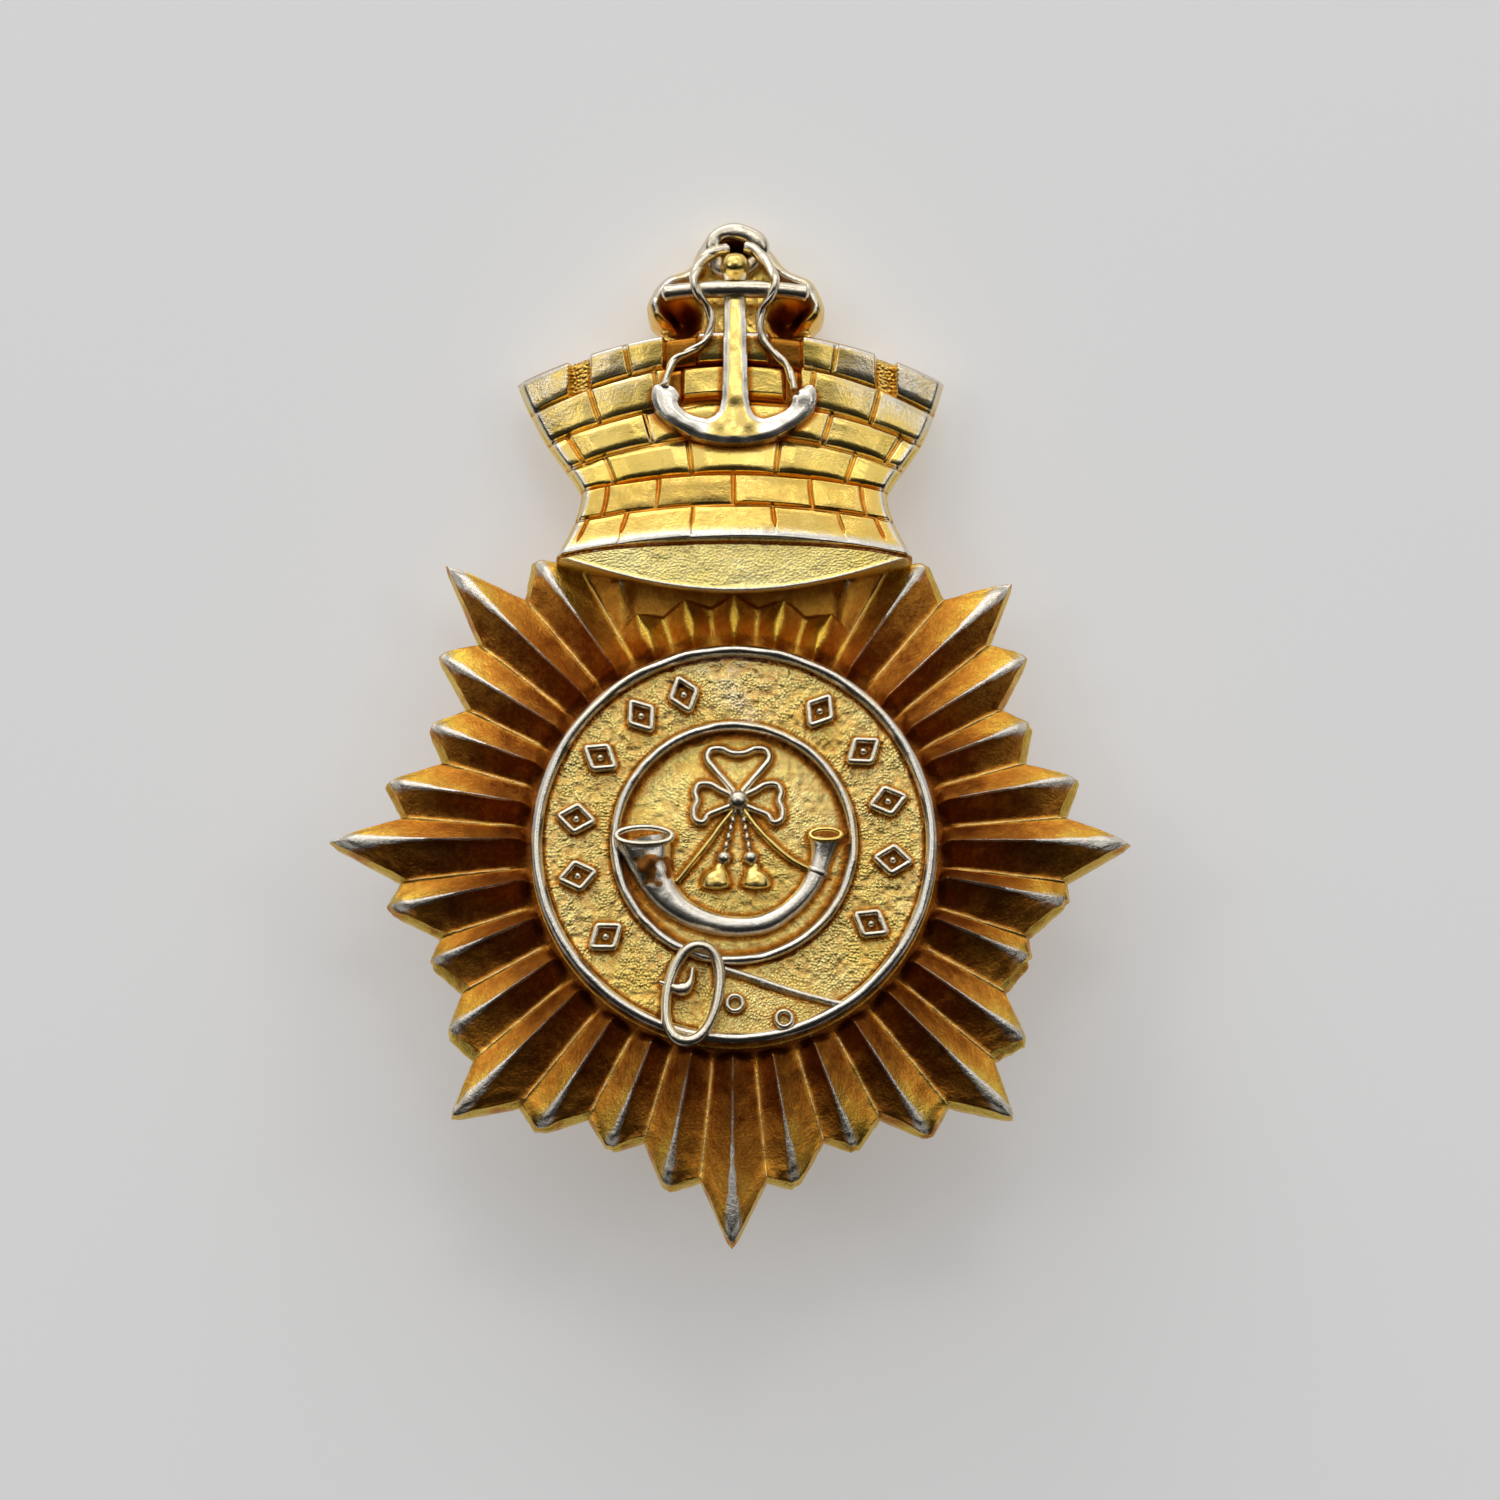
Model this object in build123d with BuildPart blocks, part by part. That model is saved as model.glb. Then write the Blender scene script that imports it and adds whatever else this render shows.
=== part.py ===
from build123d import *

import os
from math import cos, radians, sin

# Cap badge: a rayed star that carries a garter with a bugle, a walled crown and an anchor.
# It is worn upright, so +Z points to the crown, and the front faces -Y.
# The origin is the star's centre, on the plane of the narrow rim round its back.
# A height below is the distance in front of that plane, and a negative one lies behind it.

# Star
# The rays run from the right-hand one over the top to the left and round underneath.
# They are cast a little unevenly: each has its own length, and some stray by a degree or two.
RAY_LENGTHS = (
    (19.65, 17.4, 16.0, 17.6, 19.5, 17.5, 16.1, 17.3)
    + (19.75, 17.3, 16.1, 17.9, 20.6, 17.8, 16.4, 17.6)
    + (20.1, 17.3, 15.9, 16.7, 19.2, 16.9, 16.0, 17.1)
    + (19.7, 16.9, 16.0, 17.1, 19.1, 17.2, 15.5, 16.6)
)
RAY_STRAYS = (
    (1.0, 0.7, 0.9, 0.1, -0.6, 0.8, 0.0, 0.0)
    + (0.0, 0.0, 0.0, 0.1, -0.2, -0.1, 0.0, 0.1)
    + (-1.3, -1.4, -1.8, -0.7, -1.1, -0.5, 0.3, 0.0)
    + (-0.3, -1.0, -0.9, -0.2, 0.6, 0.1, 2.0, 2.2)
)
# The notch after each ray; those under the crown's corners are shallower
OUTER_NOTCH, CORNER_NOTCH, INNER_NOTCH = 16.6, 16.4, 15.2
NOTCH_RADII = (
    (OUTER_NOTCH, INNER_NOTCH, INNER_NOTCH, OUTER_NOTCH)
    + (OUTER_NOTCH, CORNER_NOTCH, INNER_NOTCH, OUTER_NOTCH)
    + (OUTER_NOTCH, INNER_NOTCH, CORNER_NOTCH, OUTER_NOTCH)
    + 5 * (OUTER_NOTCH, INNER_NOTCH, INNER_NOTCH, OUTER_NOTCH)
)
EDGE_HEIGHT = 0.95
TIP_HEIGHT = 1.05
HUB_RADIUS = 10.05
HUB_RIDGE_HEIGHT = 2.55
HUB_VALLEY_HEIGHT = 1.75
DECK_HEIGHT = 1.5
POCKET_RADIUS = 12.5
POCKET_DEPTH = 0.8

# Garter
RIM_OUTER, RIM_INNER = 10.0, 9.43
EYE_OUTER, EYE_INNER = 6.1, 5.65
RIM_HEIGHT = 3.05
STRAP_HEIGHT = 2.55
STRAP_END_HEIGHT = 2.8
ORNAMENT_HEIGHT = 2.95
ORNAMENT_RADIUS = 7.85
LOZENGE_SIZE, LOZENGE_HOLE, PELLET_RADIUS = 0.98, 0.58, 0.2
ORNAMENT_ANGLES = (216.9, 192.4, 171.4, 147.2, 125.8, 108.5, 57.3, 35.7, 15.2, -6.5, -31.2)
EYELETS = ((0.05, -8.05), (2.45, -8.65))
EYELET_RADIUS = 0.46
EYELET_RISE, EYELET_FLOOR = 0.15, 0.1
BUCKLE_ROUND = 0.16
# Two corners of the strap end that lie outside the garter's rim, which trims it
STRAP_END_CORNERS = ((7.0, -10.0), (-1.4, -10.0))
BUCKLE_X, BUCKLE_Z, BUCKLE_LEAN = -2.0, -7.6, -11.0
BUCKLE_HALF_WIDTH, BUCKLE_HALF_LENGTH, BUCKLE_WIRE = 1.47, 2.62, 0.45
BUCKLE_HEIGHT = 3.5
TONGUE_LINE = [(-3.1, -7.22), (-2.7, -7.4), (-2.2, -7.25), (-2.0, -6.6)]
TONGUE_WIDTH, TONGUE_THICKNESS = 0.5, 0.9
STRAP_EDGE = [(-0.6, -6.15), (0.9, -6.6), (2.75, -7.25), (5.1, -7.9)]

# Centre
DISC_EDGE_HEIGHT, DISC_HEIGHT = 2.2, 2.7
HORN_STATIONS = (
    (-4.45, -0.3, 1.3),
    (-4.2, -1.3, 1.0),
    (-3.35, -2.7, 0.72),
    (-1.9, -3.75, 0.54),
    (0.1, -4.15, 0.48),
    (2.1, -3.7, 0.43),
    (3.55, -2.5, 0.38),
    (4.2, -1.3, 0.34),
    (4.45, 0.0, 0.32),
)
HORN_HEIGHT, HORN_FLATNESS = 2.75, 0.9
BELL_X, BELL_Z, BELL_RIM_HEIGHT = -4.4, 0.1, 4.05
BELL_OUTER, BELL_INNER = (1.55, 0.52), (1.15, 0.24)
MOUTH_X, MOUTH_Z, MOUTH_HEIGHT = 4.5, 0.25, 3.4
MOUTH_OUTER, MOUTH_INNER = (0.85, 0.4), (0.5, 0.16)
BOW_X, BOW_Z = 0.2, 2.05
BOW_WIRE, BOW_HEIGHT = 0.4, 3.3
KNOT_RADIUS, KNOT_HEIGHT = 0.55, 2.95
# The loops' lines, from the bow's middle
UPPER_LOOP = [(0.25, 0.35), (1.15, 1.6), (1.45, 2.25), (0.8, 2.6), (0.0, 2.4)]
SIDE_LOOP = [(0.35, 0.25), (1.0, 0.6), (1.95, 0.55), (2.1, -0.1), (1.8, -0.95), (1.0, -0.6), (0.35, -0.2)]
TASSEL_CORD_LINES = [[(0.1, 1.8), (-0.3, 0.8), (-0.5, -0.6)], [(0.3, 1.8), (0.65, 0.8), (0.8, -0.6)]]
TASSEL_CORD_WIDTH, TASSEL_CORD_HEIGHT = 0.26, 3.05
BUGLE_CORD_LINES = [[(-0.1, 1.6), (-1.2, 0.1), (-2.7, -1.75)], [(0.5, 1.6), (1.8, 0.0), (3.8, -1.35)]]
BUGLE_CORD_WIDTH, BUGLE_CORD_HEIGHT = 0.32, 2.95
BALL_X, BALL_Z, BALL_RADIUS, BALL_HEIGHT = (-0.5, 0.82), -0.8, 0.34, 2.8
TASSEL_X = (-0.76, 1.02)
TASSEL_TOP_Z, TASSEL_FOOT_Z = -1.12, -2.2
TASSEL_TOP_WIDTH, TASSEL_FOOT_WIDTH, TASSEL_HEIGHT = 0.36, 1.2, 3.15
TASSEL_ROUND = 0.1

# Crown
CROWN_BACK = 1.0
CROWN_TOP_CORNER = (10.6, 23.9)
CROWN_TOP_MIDDLE = 25.95
CROWN_WAIST = (7.65, 17.9)
CROWN_BASE_CORNER = (8.9, 14.5)
CROWN_LIP_MIDDLE = 15.1
CROWN_SIDE_POINT = (9.45, 20.75)
UNDERSIDE_MIDDLE = 12.45
UNDERSIDE_HEIGHT, UNDERSIDE_FALL = 3.85, 0.12
CROWN_AXIS_DEPTH = 24.0
CROWN_PROFILE = ((12.0, 4.5), (15.2, 4.35), (16.5, 3.8), (18.0, 3.5), (20.5, 3.6), (23.5, 4.05), (27.0, 4.6))
MORTAR_WIDTH, MORTAR_DEPTH = 0.24, 0.28
# For each course from the top: the line under it (its middle's z and its radius), and where its bricks join
COURSES = (
    (24.3, 23.8, ()),
    (22.3, 26.0, (-7.0, 7.1)),
    (20.6, 26.0, (-8.0, -4.3, 4.67, 8.0)),
    (18.6, 38.0, (-6.2, -2.2, 2.15, 5.8)),
    (16.95, 36.0, (-6.4, -3.8, 0.0, 3.8, 6.4)),
    (15.1, 40.0, (-7.7, -5.6, -2.1, 2.0, 5.4, 7.4)),
)
# The wall flares, so the joints lean out with their height and their distance from the middle
JOINTS_UPRIGHT_Z, JOINT_LEAN = 17.0, 0.4
EMBRASURES = (-7.8, 7.65)
EMBRASURE_WIDTH = 1.1
MERLON_JOINTS = (-5.3, 5.05)
MERLON_MIDDLE_Z, MERLON_JOINT_LENGTH, EMBRASURE_LENGTH = 24.4, 2.4, 3.4
BAY_WIDTH, BAY_LENGTH, BAY_MIDDLE_Z = 7.0, 3.0, 25.0
BAY_HEIGHT = 2.7
# More than the crown's whole depth: a cut this deep goes right through
CROWN_CUT = 5

# Anchor
BACKING_HEIGHT = 2.6
HOLLOW_HEIGHT = 1.8
LOBES = ((-2.75, 27.6, 1.75), (2.85, 27.6, 1.72), (0.05, 29.85, 1.85))
# The parts of the backing between its lobes, and where it runs into the crown: width, height and middle z
BACKING_WAIST = (4.6, 4.4, 28.0)
BACKING_FOOT = (7.5, 1.0, 25.6)
# Each side lobe's hollow is set out and down a little, inside a rim
HOLLOW_SPREAD, HOLLOW_DROP, LOBE_RIM = 1.05, 0.15, 0.5
ANCHOR_X = 0.05
ANCHOR_HEIGHT = 4.9
SHANK_WIDTH, SHANK_LENGTH, SHANK_MIDDLE_Z = 1.05, 9.0, 25.2
ARM_OUTER = ((-3.95, 21.85), (ANCHOR_X, 20.0), (4.05, 21.85))
ARM_INNER = ((3.2, 22.55), (ANCHOR_X, 21.2), (-3.1, 22.55))
LEFT_PALM_TIP, RIGHT_PALM_TIP = (-4.0, 22.75), (4.1, 22.75)
ANCHOR_CHAMFER = 0.15
STOCK_Z, STOCK_LENGTH, STOCK_WIDTH, STOCK_HEIGHT = 27.9, 7.4, 1.0, 4.75
SHANK_HEIGHT_AT_STOCK = 3.7
RING_X, RING_Z, RING_OUTER, RING_INNER, RING_HEIGHT = 0.05, 30.2, 1.5, 0.75, 4.1
RING_ROUND, STOCK_ROUND = 0.25, 0.3
CABLE_WIDTH, CABLE_HEIGHT = 0.55, 5.0
LEFT_CABLE_LINE = (
    [(-0.9, 29.9), (-1.5, 29.4), (-1.85, 28.6), (-1.8, 27.8), (-1.35, 26.9)]
    + [(-1.35, 26.1), (-2.0, 25.3), (-3.0, 24.5), (-3.5, 23.4)]
)
RIGHT_CABLE_LINE = (
    [(1.0, 29.9), (1.6, 29.1), (2.0, 28.2), (1.6, 27.2), (1.35, 26.3)]
    + [(1.6, 25.4), (2.2, 24.75), (2.8, 24.15), (3.1, 23.4)]
)

# Lugs and split pin
LUG_X = 9.0
PIN_AXIS_HEIGHT = -5.0
PIN_RADIUS = 0.82
PIN_LEG_GAP = 0.12
PIN_TIP_X, PIN_HEAD_X = 12.8, -12.6
PIN_EYE_RADIUS, PIN_EYE_WIRE = 1.5, 0.55
# The eye's ring starts inside the head of the legs, by this share of its radius
PIN_EYE_SHARE = 0.75
LUG_WIRE, LUG_BEND = 0.5, 1.4


def face_plane(height):
    """The plane parallel to the badge's face at a height, seen from the front."""
    return Plane.XZ.offset(height)


def star_point(radius, angle, height):
    return Vector(radius * cos(radians(angle)), -height, radius * sin(radians(angle)))


def polygon_face(*points):
    return Face(Wire.make_polygon(points, close=True))


def mirrored_arc(middle, corner):
    """An arc that is symmetric about the badge's centre line."""
    return ThreePointArc((-corner[0], corner[1]), (0, middle), corner)


os.makedirs("parts", exist_ok=True)

# ---------------------------------------------------------------- crown

# Everything inside the crown's curved front, as a solid turned about an upright axis behind it
with BuildPart() as crown_front:
    with BuildSketch(Plane.YZ):
        with BuildLine():
            Spline([(-height, z) for z, height in CROWN_PROFILE])
            low_z, low_height = CROWN_PROFILE[0]
            high_z, high_height = CROWN_PROFILE[-1]
            Polyline(
                (-high_height, high_z),
                (CROWN_AXIS_DEPTH, high_z),
                (CROWN_AXIS_DEPTH, low_z),
                (-low_height, low_z),
            )
        make_face()
    revolve(axis=Axis((0, CROWN_AXIS_DEPTH, 0), (0, 0, 1)), revolution_arc=360)

with BuildPart() as crown_core:
    with BuildSketch(Plane.YZ):
        with BuildLine():
            Spline([(-height + MORTAR_DEPTH, z) for z, height in CROWN_PROFILE])
            Polyline(
                (-high_height + MORTAR_DEPTH, high_z),
                (CROWN_AXIS_DEPTH, high_z),
                (CROWN_AXIS_DEPTH, low_z),
                (-low_height + MORTAR_DEPTH, low_z),
            )
        make_face()
    revolve(axis=Axis((0, CROWN_AXIS_DEPTH, 0), (0, 0, 1)), revolution_arc=360)

with BuildSketch(face_plane(CROWN_BACK)) as crown_outline:
    with BuildLine():
        mirrored_arc(CROWN_TOP_MIDDLE, CROWN_TOP_CORNER)
        mirrored_arc(CROWN_LIP_MIDDLE, CROWN_BASE_CORNER)
        for side in (-1, 1):
            Spline(
                (side * CROWN_TOP_CORNER[0], CROWN_TOP_CORNER[1]),
                (side * CROWN_SIDE_POINT[0], CROWN_SIDE_POINT[1]),
                (side * CROWN_WAIST[0], CROWN_WAIST[1]),
                (side * CROWN_BASE_CORNER[0], CROWN_BASE_CORNER[1]),
            )
    make_face()

# The mortar lines: one arc under each course, and the upright joints between the bricks
with BuildPart() as mortar:
    with BuildSketch(face_plane(CROWN_BACK)):
        for middle, radius, _ in COURSES[:-1]:
            with Locations((0, middle - radius)):
                Circle(radius + MORTAR_WIDTH / 2)
                Circle(radius - MORTAR_WIDTH / 2, mode=Mode.SUBTRACT)
        for above, below in zip(COURSES[:-1], COURSES[1:]):
            course_height = above[0] - below[0]
            for x in below[2]:
                sag = x * x / (above[1] + below[1])
                lean = (JOINTS_UPRIGHT_Z - below[0]) * x * JOINT_LEAN
                with Locations(Location((x, (above[0] + below[0]) / 2 - sag, 0), (0, 0, lean))):
                    Rectangle(MORTAR_WIDTH, course_height)
        for x in MERLON_JOINTS:
            with Locations((x, MERLON_MIDDLE_Z)):
                Rectangle(MORTAR_WIDTH, MERLON_JOINT_LENGTH)
        add(crown_outline.sketch, mode=Mode.INTERSECT)
    extrude(amount=CROWN_CUT)
    add(crown_core.part, mode=Mode.SUBTRACT)

# The places where the wall is cut down: two embrasures and the bay behind the anchor
with BuildPart() as wall_cuts:
    with BuildSketch(face_plane(BAY_HEIGHT)):
        for x in EMBRASURES:
            with Locations((x, MERLON_MIDDLE_Z)):
                Rectangle(EMBRASURE_WIDTH, EMBRASURE_LENGTH)
        with Locations((0, BAY_MIDDLE_Z)):
            Rectangle(BAY_WIDTH, BAY_LENGTH)
        top_course, top_radius, _ = COURSES[0]
        with Locations((0, top_course - top_radius)):
            Circle(top_radius, mode=Mode.SUBTRACT)
    extrude(amount=CROWN_CUT)

with BuildPart() as crown_shell:
    with BuildSketch(face_plane(CROWN_BACK)):
        add(crown_outline.sketch)
    extrude(amount=CROWN_CUT)
    add(crown_front.part, mode=Mode.INTERSECT)
    add(mortar.part, mode=Mode.SUBTRACT)
    add(wall_cuts.part, mode=Mode.SUBTRACT)

with BuildPart() as crown_underside:
    with BuildSketch(face_plane(CROWN_BACK)):
        with BuildLine():
            mirrored_arc(CROWN_LIP_MIDDLE, CROWN_BASE_CORNER)
            mirrored_arc(UNDERSIDE_MIDDLE, CROWN_BASE_CORNER)
        make_face()
    extrude(amount=CROWN_CUT)
    # Its face leans back a little from under the lip
    top_edge = (0, -UNDERSIDE_HEIGHT, CROWN_LIP_MIDDLE)
    slope = Plane(origin=top_edge, x_dir=(1, 0, 0), z_dir=(0, -1, -UNDERSIDE_FALL))
    split(bisect_by=slope, keep=Keep.BOTTOM)

# ---------------------------------------------------------------- anchor

with BuildPart() as anchor_backing:
    with BuildSketch(face_plane(CROWN_BACK)):
        for x, z, radius in LOBES:
            with Locations((x, z)):
                Circle(radius)
        for width, height, middle_z in (BACKING_WAIST, BACKING_FOOT):
            with Locations((0, middle_z)):
                Rectangle(width, height)
        add(crown_outline.sketch, mode=Mode.SUBTRACT)
    extrude(amount=BACKING_HEIGHT - CROWN_BACK)
    with BuildSketch(face_plane(HOLLOW_HEIGHT)):
        for x, z, radius in LOBES[:2]:
            with Locations((x * HOLLOW_SPREAD, z - HOLLOW_DROP)):
                Circle(radius - LOBE_RIM)
    extrude(amount=BACKING_HEIGHT - HOLLOW_HEIGHT, mode=Mode.SUBTRACT)

with BuildPart() as anchor_ring:
    with BuildSketch(face_plane(BACKING_HEIGHT)):
        with Locations((RING_X, RING_Z)):
            Circle(RING_OUTER)
            Circle(RING_INNER, mode=Mode.SUBTRACT)
    extrude(amount=RING_HEIGHT - BACKING_HEIGHT)
    fillet(anchor_ring.faces().sort_by(Axis.Y)[0].edges(), RING_ROUND)

with BuildPart() as anchor_stock:
    with BuildSketch(face_plane(BACKING_HEIGHT)):
        with Locations((0, STOCK_Z)):
            SlotOverall(STOCK_LENGTH, STOCK_WIDTH)
    extrude(amount=STOCK_HEIGHT - BACKING_HEIGHT)
    fillet(anchor_stock.faces().sort_by(Axis.Y)[0].edges(), STOCK_ROUND)
    # The slot that the shank passes through
    with BuildSketch(face_plane(BACKING_HEIGHT)):
        with Locations((ANCHOR_X, STOCK_Z)):
            Rectangle(SHANK_WIDTH, 2 * STOCK_WIDTH)
    extrude(amount=SHANK_HEIGHT_AT_STOCK - BACKING_HEIGHT, mode=Mode.SUBTRACT)


def cable(points, width, height):
    """A flat rope from the plate behind the anchor to a height, over the stock and under the ring."""
    with BuildPart() as rope:
        with BuildSketch(face_plane(BACKING_HEIGHT)):
            with BuildLine():
                Spline(points)
            trace(line_width=width)
        extrude(amount=height - BACKING_HEIGHT)
        for neighbour in (anchor_ring, anchor_stock, crown_shell):
            add(neighbour.part, mode=Mode.SUBTRACT)
    return rope.part


anchor_cable_left = cable(LEFT_CABLE_LINE, CABLE_WIDTH, CABLE_HEIGHT)
anchor_cable_right = cable(RIGHT_CABLE_LINE, CABLE_WIDTH, CABLE_HEIGHT)

with BuildPart() as anchor:
    with BuildSketch(face_plane(BACKING_HEIGHT)):
        with BuildLine():
            ThreePointArc(*ARM_OUTER)
            Polyline(ARM_OUTER[-1], RIGHT_PALM_TIP, ARM_INNER[0])
            ThreePointArc(*ARM_INNER)
            Polyline(ARM_INNER[-1], LEFT_PALM_TIP, ARM_OUTER[0])
        make_face()
        with Locations((ANCHOR_X, SHANK_MIDDLE_Z)):
            SlotOverall(SHANK_LENGTH, SHANK_WIDTH, rotation=90)
    extrude(amount=ANCHOR_HEIGHT - BACKING_HEIGHT)
    chamfer(anchor.faces().sort_by(Axis.Y)[0].edges(), ANCHOR_CHAMFER)
    for neighbour in (crown_shell, anchor_ring, anchor_stock):
        add(neighbour.part, mode=Mode.SUBTRACT)
    add(anchor_cable_left, mode=Mode.SUBTRACT)
    add(anchor_cable_right, mode=Mode.SUBTRACT)

# ---------------------------------------------------------------- star

# Each ray is a ridge between two valleys, and every facet is flat
ray_count = len(RAY_LENGTHS)
ray_step = 360 / ray_count
tips = []
notches = []
hub_ridges = []
hub_valleys = []
for ray in range(ray_count):
    angle = ray * ray_step + RAY_STRAYS[ray]
    middle = (ray + 0.5) * ray_step
    tips.append((RAY_LENGTHS[ray], angle, TIP_HEIGHT))
    notches.append((NOTCH_RADII[ray], middle, EDGE_HEIGHT))
    hub_ridges.append((HUB_RADIUS, angle, HUB_RIDGE_HEIGHT))
    hub_valleys.append((HUB_RADIUS, middle, HUB_VALLEY_HEIGHT))


def lowered(point, height):
    return star_point(point[0], point[1], height)


def star_faces():
    """The star's closed skin: side walls, ray facets, the wall round the deck, the deck and the back."""
    faces = []
    for ray in range(ray_count):
        for tip_side, notch in ((ray, ray), (ray, ray - 1)):
            tip, cut = tips[tip_side], notches[notch]
            ridge, valley = hub_ridges[tip_side], hub_valleys[notch]
            faces.append(polygon_face(star_point(*ridge), star_point(*tip), star_point(*cut)))
            faces.append(polygon_face(star_point(*ridge), star_point(*cut), star_point(*valley)))
            faces.append(polygon_face(star_point(*tip), star_point(*cut), lowered(cut, 0), lowered(tip, 0)))
            faces.append(
                polygon_face(
                    star_point(*ridge),
                    star_point(*valley),
                    lowered(valley, DECK_HEIGHT),
                    lowered(ridge, DECK_HEIGHT),
                )
            )
    outline = [point for pair in zip(tips, notches) for point in pair]
    hub = [point for pair in zip(hub_ridges, hub_valleys) for point in pair]
    faces.append(polygon_face(*[lowered(point, 0) for point in outline]))
    faces.append(polygon_face(*[lowered(point, DECK_HEIGHT) for point in hub]))
    return faces


with BuildPart() as star_plate:
    add(Solid(Shell(star_faces())))
    with BuildSketch(face_plane(0)):
        Circle(POCKET_RADIUS)
    extrude(amount=POCKET_DEPTH, mode=Mode.SUBTRACT)
    # The crown's seat: everything in front of its back is cleared
    with BuildSketch(face_plane(CROWN_BACK)):
        add(crown_outline.sketch)
        with BuildLine():
            mirrored_arc(CROWN_LIP_MIDDLE, CROWN_BASE_CORNER)
            mirrored_arc(UNDERSIDE_MIDDLE, CROWN_BASE_CORNER)
        make_face()
    extrude(amount=CROWN_CUT, mode=Mode.SUBTRACT)

# ---------------------------------------------------------------- garter


def rim(outer, inner):
    """A ring with a round top that stands on the star's deck."""
    width = outer - inner
    with BuildPart() as ring:
        with BuildSketch(Plane.XY):
            with BuildLine():
                Polyline(
                    (inner, -RIM_HEIGHT + width / 2),
                    (inner, -DECK_HEIGHT),
                    (outer, -DECK_HEIGHT),
                    (outer, -RIM_HEIGHT + width / 2),
                )
                ThreePointArc(
                    (outer, -RIM_HEIGHT + width / 2),
                    ((outer + inner) / 2, -RIM_HEIGHT),
                    (inner, -RIM_HEIGHT + width / 2),
                )
            make_face()
        revolve(axis=Axis.Y)
    return ring.part


garter_outer_rim = rim(RIM_OUTER, RIM_INNER)
garter_inner_rim = rim(EYE_OUTER, EYE_INNER)

with BuildPart() as garter_strap:
    with BuildSketch(face_plane(DECK_HEIGHT)):
        Circle(RIM_INNER)
        Circle(EYE_OUTER, mode=Mode.SUBTRACT)
    extrude(amount=STRAP_HEIGHT - DECK_HEIGHT)

with BuildPart() as strap_eyelets:
    with BuildSketch(face_plane(STRAP_HEIGHT)):
        with Locations(*EYELETS):
            Circle(EYELET_RADIUS)
    extrude(amount=STRAP_END_HEIGHT + EYELET_RISE - STRAP_HEIGHT)
    with BuildSketch(face_plane(STRAP_HEIGHT + EYELET_FLOOR)):
        with Locations(*EYELETS):
            Circle(EYELET_RADIUS / 2)
    extrude(amount=STRAP_END_HEIGHT - STRAP_HEIGHT, mode=Mode.SUBTRACT)

with BuildPart() as garter_buckle:
    buckle_plane = face_plane(STRAP_HEIGHT)
    with BuildSketch(buckle_plane):
        with Locations(Location((BUCKLE_X, BUCKLE_Z, 0), (0, 0, BUCKLE_LEAN))):
            Ellipse(BUCKLE_HALF_WIDTH, BUCKLE_HALF_LENGTH)
            Ellipse(BUCKLE_HALF_WIDTH - BUCKLE_WIRE, BUCKLE_HALF_LENGTH - BUCKLE_WIRE, mode=Mode.SUBTRACT)
    extrude(amount=BUCKLE_HEIGHT - STRAP_HEIGHT)
    fillet(garter_buckle.faces().sort_by(Axis.Y)[0].edges(), BUCKLE_ROUND)
    add(garter_outer_rim, mode=Mode.SUBTRACT)
    add(garter_inner_rim, mode=Mode.SUBTRACT)

with BuildPart() as buckle_tongue:
    with BuildSketch(buckle_plane):
        with BuildLine():
            Spline(TONGUE_LINE)
        trace(line_width=TONGUE_WIDTH)
    extrude(amount=TONGUE_THICKNESS)
    add(garter_buckle.part, mode=Mode.SUBTRACT)

with BuildPart() as strap_end:
    with BuildSketch(face_plane(STRAP_HEIGHT)):
        with BuildLine():
            Spline(STRAP_EDGE)
            Polyline(STRAP_EDGE[-1], *STRAP_END_CORNERS, STRAP_EDGE[0])
        make_face()
        Circle(RIM_INNER, mode=Mode.INTERSECT)
        with Locations(Location((BUCKLE_X, BUCKLE_Z, 0), (0, 0, BUCKLE_LEAN))):
            Ellipse(BUCKLE_HALF_WIDTH, BUCKLE_HALF_LENGTH, mode=Mode.SUBTRACT)
        with Locations(*EYELETS):
            Circle(EYELET_RADIUS, mode=Mode.SUBTRACT)
    extrude(amount=STRAP_END_HEIGHT - STRAP_HEIGHT)
    add(garter_inner_rim, mode=Mode.SUBTRACT)

with BuildPart() as garter_ornaments:
    with BuildSketch(face_plane(STRAP_HEIGHT)):
        for angle in ORNAMENT_ANGLES:
            x = ORNAMENT_RADIUS * cos(radians(angle))
            z = ORNAMENT_RADIUS * sin(radians(angle))
            with Locations(Location((x, z, 0), (0, 0, angle))):
                RegularPolygon(LOZENGE_SIZE, 4)
                RegularPolygon(LOZENGE_HOLE, 4, mode=Mode.SUBTRACT)
                Circle(PELLET_RADIUS)
    extrude(amount=ORNAMENT_HEIGHT - STRAP_HEIGHT)

# ---------------------------------------------------------------- centre

# The dome's face is part of a sphere, and this point on it is half way out
dome_rise = DISC_HEIGHT - DISC_EDGE_HEIGHT
dome_radius = (EYE_INNER**2 + dome_rise**2) / (2 * dome_rise)
dome_point = (EYE_INNER / 2, dome_radius - DISC_HEIGHT - (dome_radius**2 - EYE_INNER**2 / 4) ** 0.5)

with BuildPart() as centre_disc:
    with BuildSketch(Plane.XY):
        with BuildLine():
            Polyline(
                (0, -DISC_HEIGHT),
                (0, -DECK_HEIGHT),
                (EYE_INNER, -DECK_HEIGHT),
                (EYE_INNER, -DISC_EDGE_HEIGHT),
            )
            ThreePointArc((EYE_INNER, -DISC_EDGE_HEIGHT), dome_point, (0, -DISC_HEIGHT))
        make_face()
    revolve(axis=Axis.Y)

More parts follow.
